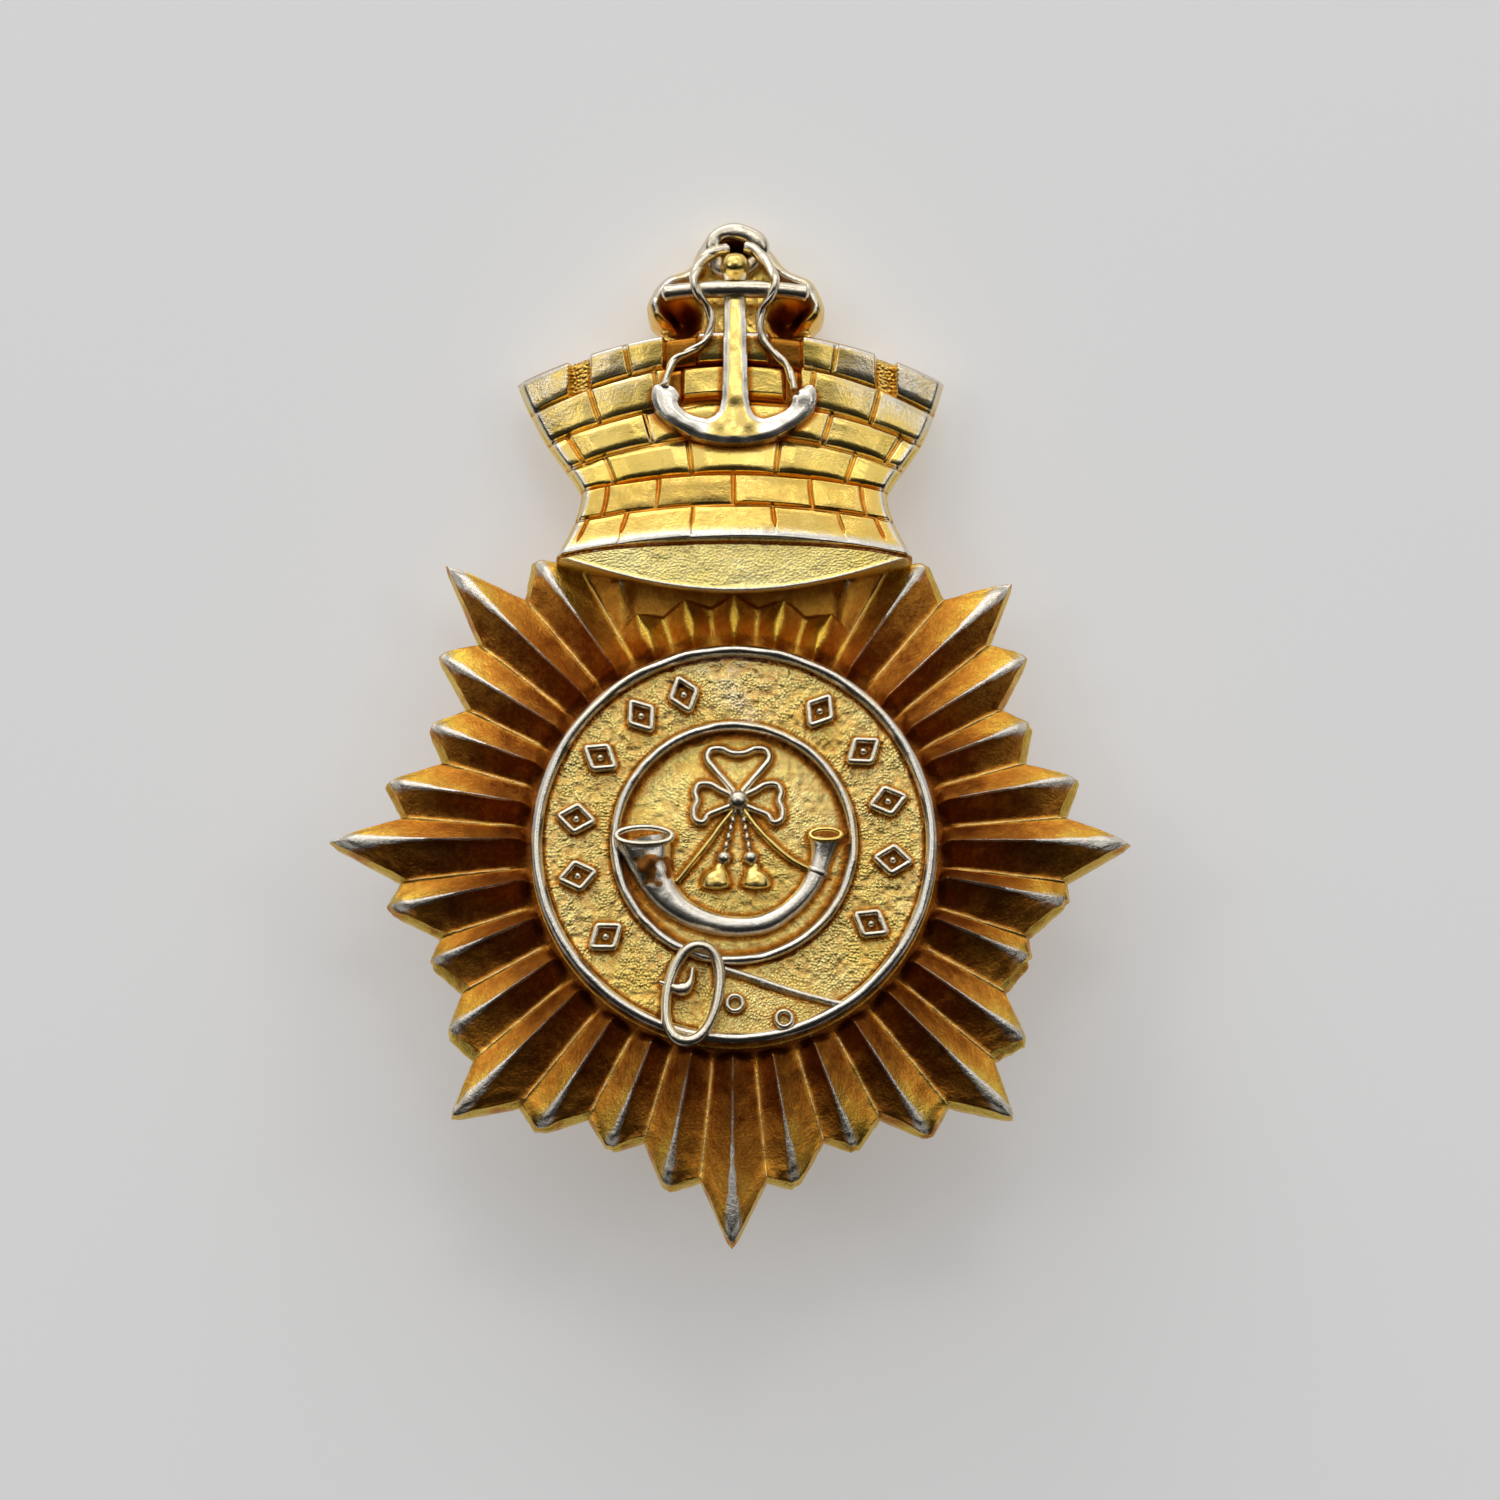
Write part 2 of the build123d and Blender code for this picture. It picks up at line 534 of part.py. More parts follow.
with BuildPart() as bugle_bell_rim:
    with BuildSketch(face_plane(DISC_EDGE_HEIGHT)):
        with Locations((BELL_X, BELL_Z)):
            Ellipse(*BELL_OUTER)
            Ellipse(*BELL_INNER, mode=Mode.SUBTRACT)
    extrude(amount=BELL_RIM_HEIGHT - DISC_EDGE_HEIGHT)
    add(centre_disc.part, mode=Mode.SUBTRACT)
    add(garter_inner_rim, mode=Mode.SUBTRACT)

with BuildPart() as bugle_mouthpiece:
    with BuildSketch(face_plane(DISC_EDGE_HEIGHT)):
        with Locations((MOUTH_X, MOUTH_Z)):
            Ellipse(*MOUTH_OUTER)
            Ellipse(*MOUTH_INNER, mode=Mode.SUBTRACT)
    extrude(amount=MOUTH_HEIGHT - DISC_EDGE_HEIGHT)
    add(centre_disc.part, mode=Mode.SUBTRACT)
    add(garter_inner_rim, mode=Mode.SUBTRACT)

with BuildPart() as bugle_horn:
    last = len(HORN_STATIONS) - 1
    for index, (x, z, radius) in enumerate(HORN_STATIONS):
        before = HORN_STATIONS[max(index - 1, 0)]
        after = HORN_STATIONS[min(index + 1, last)]
        direction = (after[0] - before[0], 0, after[1] - before[1])
        if index in (0, last):
            direction = (0, 0, -1 if index == 0 else 1)
        with BuildSketch(Plane(origin=(x, -HORN_HEIGHT, z), x_dir=(0, -1, 0), z_dir=direction)):
            Ellipse(radius * HORN_FLATNESS, radius)
    loft()
    for neighbour in (centre_disc, bugle_bell_rim, bugle_mouthpiece):
        add(neighbour.part, mode=Mode.SUBTRACT)
    add(garter_inner_rim, mode=Mode.SUBTRACT)

with BuildPart() as bow_knot:
    with Locations((BOW_X, -KNOT_HEIGHT, BOW_Z)):
        Sphere(KNOT_RADIUS)
    add(centre_disc.part, mode=Mode.SUBTRACT)


# The bow's loops: each is one ribbon that leaves the knot and comes back to it
upper_half = [(BOW_X + x, BOW_Z + z) for x, z in UPPER_LOOP]
other_half = [(BOW_X - x, BOW_Z + z) for x, z in reversed(UPPER_LOOP[:-1])]
bow_curves = [upper_half + other_half]
for side in (-1, 1):
    bow_curves.append([(BOW_X + side * x, BOW_Z + z) for x, z in SIDE_LOOP])

with BuildPart() as bow_loops:
    for curve in bow_curves:
        with BuildSketch(face_plane(DISC_EDGE_HEIGHT)):
            with BuildLine():
                Spline(curve)
            trace(line_width=BOW_WIRE)
        extrude(amount=BOW_HEIGHT - DISC_EDGE_HEIGHT)
    for neighbour in (centre_disc, bow_knot):
        add(neighbour.part, mode=Mode.SUBTRACT)


def ribbon(lines, width, height, neighbours):
    """Flat raised lines on the disc, one spline through each list of points."""
    with BuildPart() as band:
        with BuildSketch(face_plane(DISC_EDGE_HEIGHT)):
            for points in lines:
                with BuildLine():
                    Spline(points)
                trace(line_width=width)
        extrude(amount=height - DISC_EDGE_HEIGHT)
        for neighbour in neighbours:
            add(neighbour, mode=Mode.SUBTRACT)
    return band.part


tassel_cords = ribbon(
    TASSEL_CORD_LINES,
    TASSEL_CORD_WIDTH,
    TASSEL_CORD_HEIGHT,
    (centre_disc.part, bow_knot.part),
)
bugle_cords = ribbon(
    BUGLE_CORD_LINES,
    BUGLE_CORD_WIDTH,
    BUGLE_CORD_HEIGHT,
    (centre_disc.part, bow_knot.part, bugle_horn.part, tassel_cords),
)

with BuildPart() as tassel_balls:
    for x in BALL_X:
        with Locations((x, -BALL_HEIGHT, BALL_Z)):
            Sphere(BALL_RADIUS)
    add(centre_disc.part, mode=Mode.SUBTRACT)
    add(tassel_cords, mode=Mode.SUBTRACT)

with BuildPart() as tassels:
    for x in TASSEL_X:
        with BuildSketch(face_plane(DISC_EDGE_HEIGHT)):
            with BuildLine():
                Polyline(
                    (x - TASSEL_TOP_WIDTH / 2, TASSEL_TOP_Z),
                    (x - TASSEL_FOOT_WIDTH / 2, TASSEL_FOOT_Z),
                    (x + TASSEL_FOOT_WIDTH / 2, TASSEL_FOOT_Z),
                    (x + TASSEL_TOP_WIDTH / 2, TASSEL_TOP_Z),
                    close=True,
                )
            make_face()
    extrude(amount=TASSEL_HEIGHT - DISC_EDGE_HEIGHT)
    fillet(tassels.faces().sort_by(Axis.Y)[0].edges(), TASSEL_ROUND)
    for neighbour in (centre_disc, tassel_balls, bugle_horn):
        add(neighbour.part, mode=Mode.SUBTRACT)

# ---------------------------------------------------------------- lugs and split pin


def lug(x):
    """A wire loop with both feet on the pocket's floor and its bend round the split pin."""
    with BuildPart() as loop:
        with BuildLine(Plane.YZ.offset(x)) as path:
            Line((-POCKET_DEPTH, -LUG_BEND), (-PIN_AXIS_HEIGHT, -LUG_BEND))
            ThreePointArc(
                (-PIN_AXIS_HEIGHT, -LUG_BEND),
                (-PIN_AXIS_HEIGHT + LUG_BEND, 0),
                (-PIN_AXIS_HEIGHT, LUG_BEND),
            )
            Line((-PIN_AXIS_HEIGHT, LUG_BEND), (-POCKET_DEPTH, LUG_BEND))
        with BuildSketch(Plane(origin=path.line @ 0, z_dir=path.line % 0)):
            Circle(LUG_WIRE)
        sweep()
    return loop.part


lug_left = lug(-LUG_X)
lug_right = lug(LUG_X)

with BuildPart() as split_pin:
    # Two half-round legs, side by side
    with BuildSketch(Plane.YZ.offset(PIN_HEAD_X)):
        with Locations((-PIN_AXIS_HEIGHT, 0)):
            Circle(PIN_RADIUS)
            Rectangle(3 * PIN_RADIUS, PIN_LEG_GAP, mode=Mode.SUBTRACT)
    extrude(amount=PIN_TIP_X - PIN_HEAD_X)
    # The eye that joins them
    eye_centre = PIN_HEAD_X - PIN_EYE_RADIUS * PIN_EYE_SHARE
    with BuildSketch(Plane.XY):
        with Locations((eye_centre + PIN_EYE_RADIUS, -PIN_AXIS_HEIGHT)):
            Circle(PIN_EYE_WIRE)
    revolve(axis=Axis((eye_centre, 0, 0), (0, 1, 0)))

finished = {
    "star_plate": star_plate.part,
    "crown_shell": crown_shell.part,
    "crown_underside": crown_underside.part,
    "anchor_backing": anchor_backing.part,
    "anchor": anchor.part,
    "anchor_stock": anchor_stock.part,
    "anchor_ring": anchor_ring.part,
    "anchor_cable_left": anchor_cable_left,
    "anchor_cable_right": anchor_cable_right,
    "garter_strap": garter_strap.part,
    "garter_outer_rim": garter_outer_rim,
    "garter_inner_rim": garter_inner_rim,
    "strap_end": strap_end.part,
    "strap_eyelets": strap_eyelets.part,
    "garter_buckle": garter_buckle.part,
    "buckle_tongue": buckle_tongue.part,
    "garter_ornaments": garter_ornaments.part,
    "centre_disc": centre_disc.part,
    "bugle_horn": bugle_horn.part,
    "bugle_bell_rim": bugle_bell_rim.part,
    "bugle_mouthpiece": bugle_mouthpiece.part,
    "bugle_cords": bugle_cords,
    "bow_loops": bow_loops.part,
    "bow_knot": bow_knot.part,
    "tassel_cords": tassel_cords,
    "tassel_balls": tassel_balls.part,
    "tassels": tassels.part,
    "lug_left": lug_left,
    "lug_right": lug_right,
    "split_pin": split_pin.part,
}
for label, piece in finished.items():
    piece.label = label
    export_step(piece, f"parts/{label}.step")
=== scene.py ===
import math

import bpy
import numpy as np
from mathutils import Matrix, Vector
from mathutils.kdtree import KDTree


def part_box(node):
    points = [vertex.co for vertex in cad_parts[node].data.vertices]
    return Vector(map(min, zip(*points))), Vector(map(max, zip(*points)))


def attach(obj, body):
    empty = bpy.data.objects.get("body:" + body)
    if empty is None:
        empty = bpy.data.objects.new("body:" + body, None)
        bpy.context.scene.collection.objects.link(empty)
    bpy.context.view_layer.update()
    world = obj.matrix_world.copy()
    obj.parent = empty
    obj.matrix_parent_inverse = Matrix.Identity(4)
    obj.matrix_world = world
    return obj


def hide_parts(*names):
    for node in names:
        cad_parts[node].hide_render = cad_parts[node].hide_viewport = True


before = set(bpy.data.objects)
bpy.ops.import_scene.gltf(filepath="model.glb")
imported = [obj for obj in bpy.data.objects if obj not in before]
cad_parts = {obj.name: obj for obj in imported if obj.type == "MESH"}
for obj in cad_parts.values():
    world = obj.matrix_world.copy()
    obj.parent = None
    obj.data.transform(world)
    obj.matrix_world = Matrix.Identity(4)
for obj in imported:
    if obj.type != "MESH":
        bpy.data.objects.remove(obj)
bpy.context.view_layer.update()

MM = 0.001
BODY = "badge"


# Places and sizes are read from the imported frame, in millimetres.
# A height is the distance in front of the back rim.


def node_box(node):
    """A node's lowest and highest corners as (x, height, z), in millimetres."""
    low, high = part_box(node)
    return (
        np.array((low.x, -high.y, low.z)) / MM,
        np.array((high.x, -low.y, high.z)) / MM,
    )


strap_low, strap_high = node_box("garter_strap")
LONG_RAY = node_box("star_plate")[1][0]
RIM_OUTER, RIM_HEIGHT = node_box("garter_outer_rim")[1][:2]
EYE_OUTER = node_box("garter_inner_rim")[1][0]
STRAP_OUTER, STRAP_HEIGHT = strap_high[:2]
DECK_HEIGHT = strap_low[1]
DISC_RADIUS, DISC_HEIGHT = node_box("centre_disc")[1][:2]
# Faces that meet at more than this look sharp
SHARP_EDGE = math.radians(66)

# ---------------------------------------------------------------- noise


LATTICE = 256


def lattice(seed):
    return np.random.default_rng(seed).random((LATTICE, LATTICE))


def value_noise(x, y, scale, seed):
    """Smooth noise from 0 to 1, with features about scale millimetres across."""
    table = lattice(seed)
    x, y = np.asarray(x) / scale + 1000, np.asarray(y) / scale + 1000
    xi, yi = np.floor(x).astype(int), np.floor(y).astype(int)
    fx, fy = x - xi, y - yi
    fx, fy = fx * fx * (3 - 2 * fx), fy * fy * (3 - 2 * fy)
    left, right = xi % LATTICE, (xi + 1) % LATTICE
    low, high = yi % LATTICE, (yi + 1) % LATTICE
    a, b = table[left, low], table[right, low]
    c, d = table[left, high], table[right, high]
    return (a * (1 - fx) + b * fx) * (1 - fy) + (c * (1 - fx) + d * fx) * fy


def pebbles(x, y, cell, seed):
    """Raised grains about a cell across: 1 on a grain's crown and 0 in the creases between grains."""
    jx, jy = lattice(seed), lattice(seed + 1)
    px, py = np.asarray(x) / cell + 1000, np.asarray(y) / cell + 1000
    xi, yi = np.floor(px).astype(int), np.floor(py).astype(int)
    nearest = np.full(px.shape, 9.0)
    second = np.full(px.shape, 9.0)
    for dx in (-1, 0, 1):
        for dy in (-1, 0, 1):
            cx, cy = xi + dx, yi + dy
            sx = cx + jx[cx % LATTICE, cy % LATTICE]
            sy = cy + jy[cx % LATTICE, cy % LATTICE]
            d = np.hypot(px - sx, py - sy)
            second = np.minimum(second, np.maximum(nearest, d))
            nearest = np.minimum(nearest, d)
    return smooth_step(0.0, 0.45, second - nearest)


def smooth_step(low, high, value):
    """0 below low and 1 above high, with a smooth rise between. With high below low it falls instead."""
    t = np.clip((value - low) / (high - low), 0, 1)
    return t * t * (3 - 2 * t)


def hump(value, middle, width):
    """A bell curve: 1 at the middle, falling off over the width."""
    return np.exp(-(((value - middle) / width) ** 2))


def full_turn(count):
    """Angles spaced evenly round a circle."""
    return np.linspace(0, 2 * math.pi, count, endpoint=False)


# ---------------------------------------------------------------- meshes


def new_object(name, points, faces, attributes=None):
    """An object from points (x, height, z) in millimetres and a list or array of faces."""
    points = np.asarray(points, float)
    world = np.column_stack((points[:, 0], -points[:, 1], points[:, 2])) * MM
    mesh = bpy.data.meshes.new(name)
    mesh.from_pydata(world.tolist(), [], [list(map(int, f)) for f in faces])
    mesh.validate()
    mesh.update()
    mesh.shade_smooth()
    mesh.set_sharp_from_angle(angle=SHARP_EDGE)
    obj = bpy.data.objects.new(name, mesh)
    bpy.context.scene.collection.objects.link(obj)
    for key, values in (attributes or {}).items():
        set_attribute(obj, key, values)
    return obj


def grid_faces(rows, columns, start=0, wrap=False):
    """Quads of a grid of rows by columns of points. With wrap, the last column joins the first."""
    r = np.arange(rows - 1)
    c = np.arange(columns if wrap else columns - 1)
    r, c = np.meshgrid(r, c, indexing="ij")
    n = (c + 1) % columns
    quads = np.stack((r * columns + c, r * columns + n, (r + 1) * columns + n, (r + 1) * columns + c), -1)
    return (quads.reshape(-1, 4) + start).tolist()


def closed_sheet(front, back_height):
    """Points and faces of a closed plate: a front grid, walls down from its border and one flat back."""
    rows, columns, _ = front.shape
    index = np.arange(rows * columns).reshape(rows, columns)
    border = np.concatenate((index[0, :-1], index[:-1, -1], index[-1, :0:-1], index[:0:-1, 0]))
    points = front.reshape(-1, 3)
    back = points[border].copy()
    back[:, 1] = back_height
    count = rows * columns
    low = np.arange(len(border)) + count
    faces = grid_faces(rows, columns)
    wall = np.stack((np.roll(border, -1), border, low, np.roll(low, -1)), -1)
    faces += wall.tolist()
    faces.append(low[::-1].tolist())
    return np.concatenate((points, back)), faces


def ring_sheet(front, back_height):
    """The same for a grid whose columns close round: inner row first, outer row last."""
    rows, columns, _ = front.shape
    back = front[[0, -1]].copy()
    back[..., 1] = back_height
    points = np.concatenate((front.reshape(-1, 3), back.reshape(-1, 3)))
    count = rows * columns
    faces = grid_faces(rows, columns, wrap=True)
    inner, outer = count, count + columns
    for c in range(columns):
        n = (c + 1) % columns
        faces.append((n, c, inner + c, inner + n))
        faces.append(((rows - 1) * columns + c, (rows - 1) * columns + n, outer + n, outer + c))
        faces.append((inner + n, inner + c, outer + c, outer + n))
    return points, faces


def round_sheet(front, middle, back_height):
    """The same with its small open middle closed by fans. The middle is the front point (x, height, z)."""
    rows, columns, _ = front.shape
    points, faces = ring_sheet(front, back_height)
    # Each column ends with three closing faces, the inner wall first
    del faces[(rows - 1) * columns :: 3]
    front_middle, back_middle, inner = len(points), len(points) + 1, rows * columns
    points = np.concatenate((points, [middle, (middle[0], back_height, middle[2])]))
    for c in range(columns):
        n = (c + 1) % columns
        faces.append((front_middle, n, c))
        faces.append((back_middle, inner + c, inner + n))
    return points, faces


def spline(points, count, closed=False):
    """Points spaced along a Catmull-Rom curve through the given ones."""
    p = np.asarray(points, float)
    n = len(p)
    if closed:
        padded = np.concatenate((p[-1:], p, p[:2]))
        spans = n
    else:
        padded = np.concatenate((2 * p[:1] - p[1:2], p, 2 * p[-1:] - p[-2:-1]))
        spans = n - 1
    t = np.linspace(0, spans, count, endpoint=not closed)
    i = np.minimum(t.astype(int), spans - 1)
    f = (t - i)[:, None]
    a, b, c, d = padded[i], padded[i + 1], padded[i + 2], padded[i + 3]
    return 0.5 * (2 * b + (c - a) * f + (2 * a - 5 * b + 4 * c - d) * f**2 + (3 * b - a - 3 * c + d) * f**3)


def tube(path, half_widths, half_heights, sides=20, closed=False, power=2.0):
    """A bar swept along a path of (x, height, z). Its section is an ellipse, squarer with a higher power."""
    path = np.asarray(path, float)
    count = len(path)
    if closed:
        along = np.roll(path, -1, 0) - np.roll(path, 1, 0)
    else:
        along = np.gradient(path, axis=0)
    along /= np.linalg.norm(along, axis=1)[:, None]
    front = np.array((0.0, 1.0, 0.0))
    across = np.cross(along, front)
    across /= np.maximum(np.linalg.norm(across, axis=1), 1e-9)[:, None]
    up = np.cross(across, along)
    angle = full_turn(sides)
    c, s = np.cos(angle), np.sin(angle)
    c = np.sign(c) * np.abs(c) ** (2 / power)
    s = np.sign(s) * np.abs(s) ** (2 / power)
    w = np.broadcast_to(half_widths, count)[:, None, None]
    h = np.broadcast_to(half_heights, count)[:, None, None]
    rings = path[:, None] + across[:, None] * c[None, :, None] * w + up[:, None] * s[None, :, None] * h
    points = rings.reshape(-1, 3)
    faces = []
    for r in range(count if closed else count - 1):
        q = (r + 1) % count
        for k in range(sides):
            m = (k + 1) % sides
            faces.append((r * sides + k, q * sides + k, q * sides + m, r * sides + m))
    if not closed:
        first, last = len(points), len(points) + 1
        start, end = path[:1] - along[:1] * 0.3 * w[0], path[-1:] + along[-1:] * 0.3 * w[-1]
        points = np.concatenate((points, start, end))
        for k in range(sides):
            m = (k + 1) % sides
            faces.append((first, k, m))
            faces.append((last, (count - 1) * sides + m, (count - 1) * sides + k))
    return points, faces


def wire(path, radius, sides):
    """A round wire along a path that may run in any direction."""
    path = np.asarray(path, float)
    along = np.gradient(path, axis=0)
    along /= np.linalg.norm(along, axis=1)[:, None]
    one = np.cross(along, (1.0, 0.0, 0.0))
    one /= np.linalg.norm(one, axis=1)[:, None]
    two = np.cross(along, one)
    a = full_turn(sides)
    r = np.broadcast_to(radius, len(path))[:, None, None]
    c, s = np.cos(a)[None, :, None], np.sin(a)[None, :, None]
    rings = path[:, None] + r * (one[:, None] * c + two[:, None] * s)
    return capped(rings, path)


def capped(rings, path):
    """Points and faces of a bar from its rings of points, its ends closed by fans."""
    count, sides, _ = rings.shape
    faces = []
    for r in range(count - 1):
        for k in range(sides):
            m = (k + 1) % sides
            faces.append((r * sides + k, r * sides + m, (r + 1) * sides + m, (r + 1) * sides + k))
    points = np.concatenate((rings.reshape(-1, 3), path[:1], path[-1:]))
    for k in range(sides):
        m = (k + 1) % sides
        faces.append((count * sides, m, k))
        faces.append((count * sides + 1, (count - 1) * sides + k, (count - 1) * sides + m))
    return points, faces


def blob(centre, radii, rings=14, sides=28):
    """An egg shape round a centre (x, height, z)."""
    points = [(centre[0], centre[1] + radii[1], centre[2])]
    for r in range(1, rings):
        phi = math.pi * r / rings
        for k in range(sides):
            a = 2 * math.pi * k / sides
            points.append((
                centre[0] + radii[0] * math.sin(phi) * math.cos(a),
                centre[1] + radii[1] * math.cos(phi),
                centre[2] + radii[2] * math.sin(phi) * math.sin(a),
            ))
    points.append((centre[0], centre[1] - radii[1], centre[2]))
    faces = []
    for k in range(sides):
        m = (k + 1) % sides
        faces.append((0, 1 + k, 1 + m))
        for r in range(rings - 2):
            a = 1 + r * sides
            faces.append((a + k, a + sides + k, a + sides + m, a + m))
        faces.append((len(points) - 1, 1 + (rings - 2) * sides + m, 1 + (rings - 2) * sides + k))
    return np.array(points), faces


def joined(*parts):
    """Several (points, faces) as one."""
    points, faces, start = [], [], 0
    for p, f in parts:
        points.append(p)
        faces += [tuple(i + start for i in face) for face in f]
        start += len(p)
    return np.concatenate(points), faces


def fused(points, faces, voxel, rounds):
    """Shapes that overlap made one, with edges rounded as a casting's are: remeshed finely, then smoothed."""
    mesh = bpy.data.meshes.new("fused")
    mesh.from_pydata(np.asarray(points).tolist(), [], [list(map(int, f)) for f in faces])
    obj = bpy.data.objects.new("fused", mesh)
    bpy.context.scene.collection.objects.link(obj)
    remesh = obj.modifiers.new("remesh", "REMESH")
    remesh.mode = "VOXEL"
    remesh.voxel_size = voxel
    soften = obj.modifiers.new("soften", "SMOOTH")
    soften.factor = 0.5
    soften.iterations = rounds
    graph = bpy.context.evaluated_depsgraph_get()
    result = bpy.data.meshes.new_from_object(obj.evaluated_get(graph))
    co = read_triples(result.vertices, "co")
    new_faces = [tuple(f.vertices) for f in result.polygons]
    bpy.data.objects.remove(obj)
    bpy.data.meshes.remove(mesh)
    bpy.data.meshes.remove(result)
    return co, new_faces


def prism(outline, low, high):
    """A flat plate from a closed (x, z) outline, between two heights."""
    count = len(outline)
    points = [(x, high, z) for x, z in outline] + [(x, low, z) for x, z in outline]
    faces = [tuple(range(count)), tuple(range(2 * count - 1, count - 1, -1))]
    for k in range(count):
        n = (k + 1) % count
        faces.append((n, k, count + k, count + n))
    return np.array(points), faces


def flat_distance(points, others):
    """The distance in x and z from each point to the nearest of the others, all as (x, height, z)."""
    tree = KDTree(len(others))
    for i, p in enumerate(others):
        tree.insert((p[0], 0, p[2]), i)
    tree.balance()
    return np.array([tree.find((p[0], 0, p[2]))[2] for p in points])


def read_triples(items, key):
    """A vector property of each of a mesh's items, as rows of three."""
    values = np.zeros(len(items) * 3)
    items.foreach_get(key, values)
    return values.reshape(-1, 3)


def bend_of(obj):
    """How sharply the surface bends out at each point, from -1 in a crease to 1 on an edge."""
    mesh = obj.data
    count = len(mesh.vertices)
    co = read_triples(mesh.vertices, "co") / MM
    normal = read_triples(mesh.vertices, "normal")
    pairs = np.zeros(len(mesh.edges) * 2, int)
    mesh.edges.foreach_get("vertices", pairs)
    pairs = pairs.reshape(-1, 2)
    total = np.zeros((count, 3))
    number = np.zeros(count)
    length = np.zeros(count)
    span = np.linalg.norm(co[pairs[:, 0]] - co[pairs[:, 1]], axis=1)
    for a, b in ((0, 1), (1, 0)):
        np.add.at(total, pairs[:, a], co[pairs[:, b]])
        np.add.at(number, pairs[:, a], 1)
        np.add.at(length, pairs[:, a], span)
    number = np.maximum(number, 1)
    offset = ((co - total / number[:, None]) * normal).sum(1)
    step = np.maximum(length / number, 1e-6)
    curvature = offset / step**2
    for _ in range(2):
        spread = np.zeros(count)
        for a, b in ((0, 1), (1, 0)):
            np.add.at(spread, pairs[:, a], curvature[pairs[:, b]])
        curvature = 0.5 * curvature + 0.5 * spread / number
    return np.clip(curvature, -1, 1)


def set_attribute(obj, key, values):
    mesh = obj.data
    layer = mesh.attributes.get(key) or mesh.attributes.new(key, "FLOAT", "POINT")
    layer.data.foreach_set("value", np.asarray(values, np.float32))


def points_of(obj):
    """An object's points as (x, height, z), in millimetres."""
    co = read_triples(obj.data.vertices, "co") / MM
    return np.column_stack((co[:, 0], -co[:, 1], co[:, 2]))


def nearness(points, objects, floor, reach):
    """For each point, 1 where it touches an overlay above a height, falling to 0 at a distance."""
    others = np.concatenate([points_of(o) for o in objects])
    others = others[others[:, 1] > floor]
    return 1 - smooth_step(0, reach, flat_distance(points, others))


def finish_piece(obj, nodes, material, wear_scale=0.12, tone_scale=0.12):
    """Edge wear and crease toning from the bend of the surface, then the piece's place in the frame."""
    if wear_scale:
        bend = bend_of(obj)
        for key, amount in (("wear", bend * wear_scale), ("tone", -bend * tone_scale)):
            amount = np.clip(amount, 0, 1)
            layer = obj.data.attributes.get(key)
            if layer is not None:
                old = np.zeros(len(obj.data.vertices), np.float32)
                layer.data.foreach_get("value", old)
                amount = np.maximum(amount, old)
            set_attribute(obj, key, amount)
    obj.data.materials.clear()
    obj.data.materials.append(material)
    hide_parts(*nodes)
    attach(obj, BODY)
    return obj


def sheet_piece(name, sheet, wear, tone, back_tone, node, material):
    """A piece from a sheet whose front points come first and carry their own wear and tone."""
    points, faces = sheet
    wear_pad = np.zeros(len(points) - wear.size)
    attributes = {
        "wear": np.append(wear.ravel(), wear_pad),
        "tone": np.append(tone.ravel(), wear_pad + back_tone),
    }
    return finish_piece(new_object(name, points, faces, attributes), [node], material, wear_scale=0)


# ---------------------------------------------------------------- materials

PALE_GOLD = (0.94, 0.68, 0.20)
AMBER = (0.63, 0.26, 0.032)
DARK = (0.22, 0.060, 0.008)
SILVER = (0.80, 0.74, 0.64)


def add_node(tree, kind, inputs=None, **settings):
    """A shader node. An input is linked where it is given a node's output, and set where it is a value."""
    made = tree.nodes.new(kind)
    for key, value in settings.items():
        setattr(made, key, value)
    for key, value in (inputs or {}).items():
        if isinstance(value, bpy.types.NodeSocket):
            tree.links.new(value, made.inputs[key])
        else:
            made.inputs[key].default_value = value
    return made


def set_ramp(ramp, stops):
    """Colour stops given as (position, grey) or (position, (red, green, blue))."""
    while len(ramp.elements) < len(stops):
        ramp.elements.new(0.5)
    for element, (at, value) in zip(ramp.elements, stops):
        element.position = at
        element.color = (*value, 1) if isinstance(value, tuple) else (value, value, value, 1)


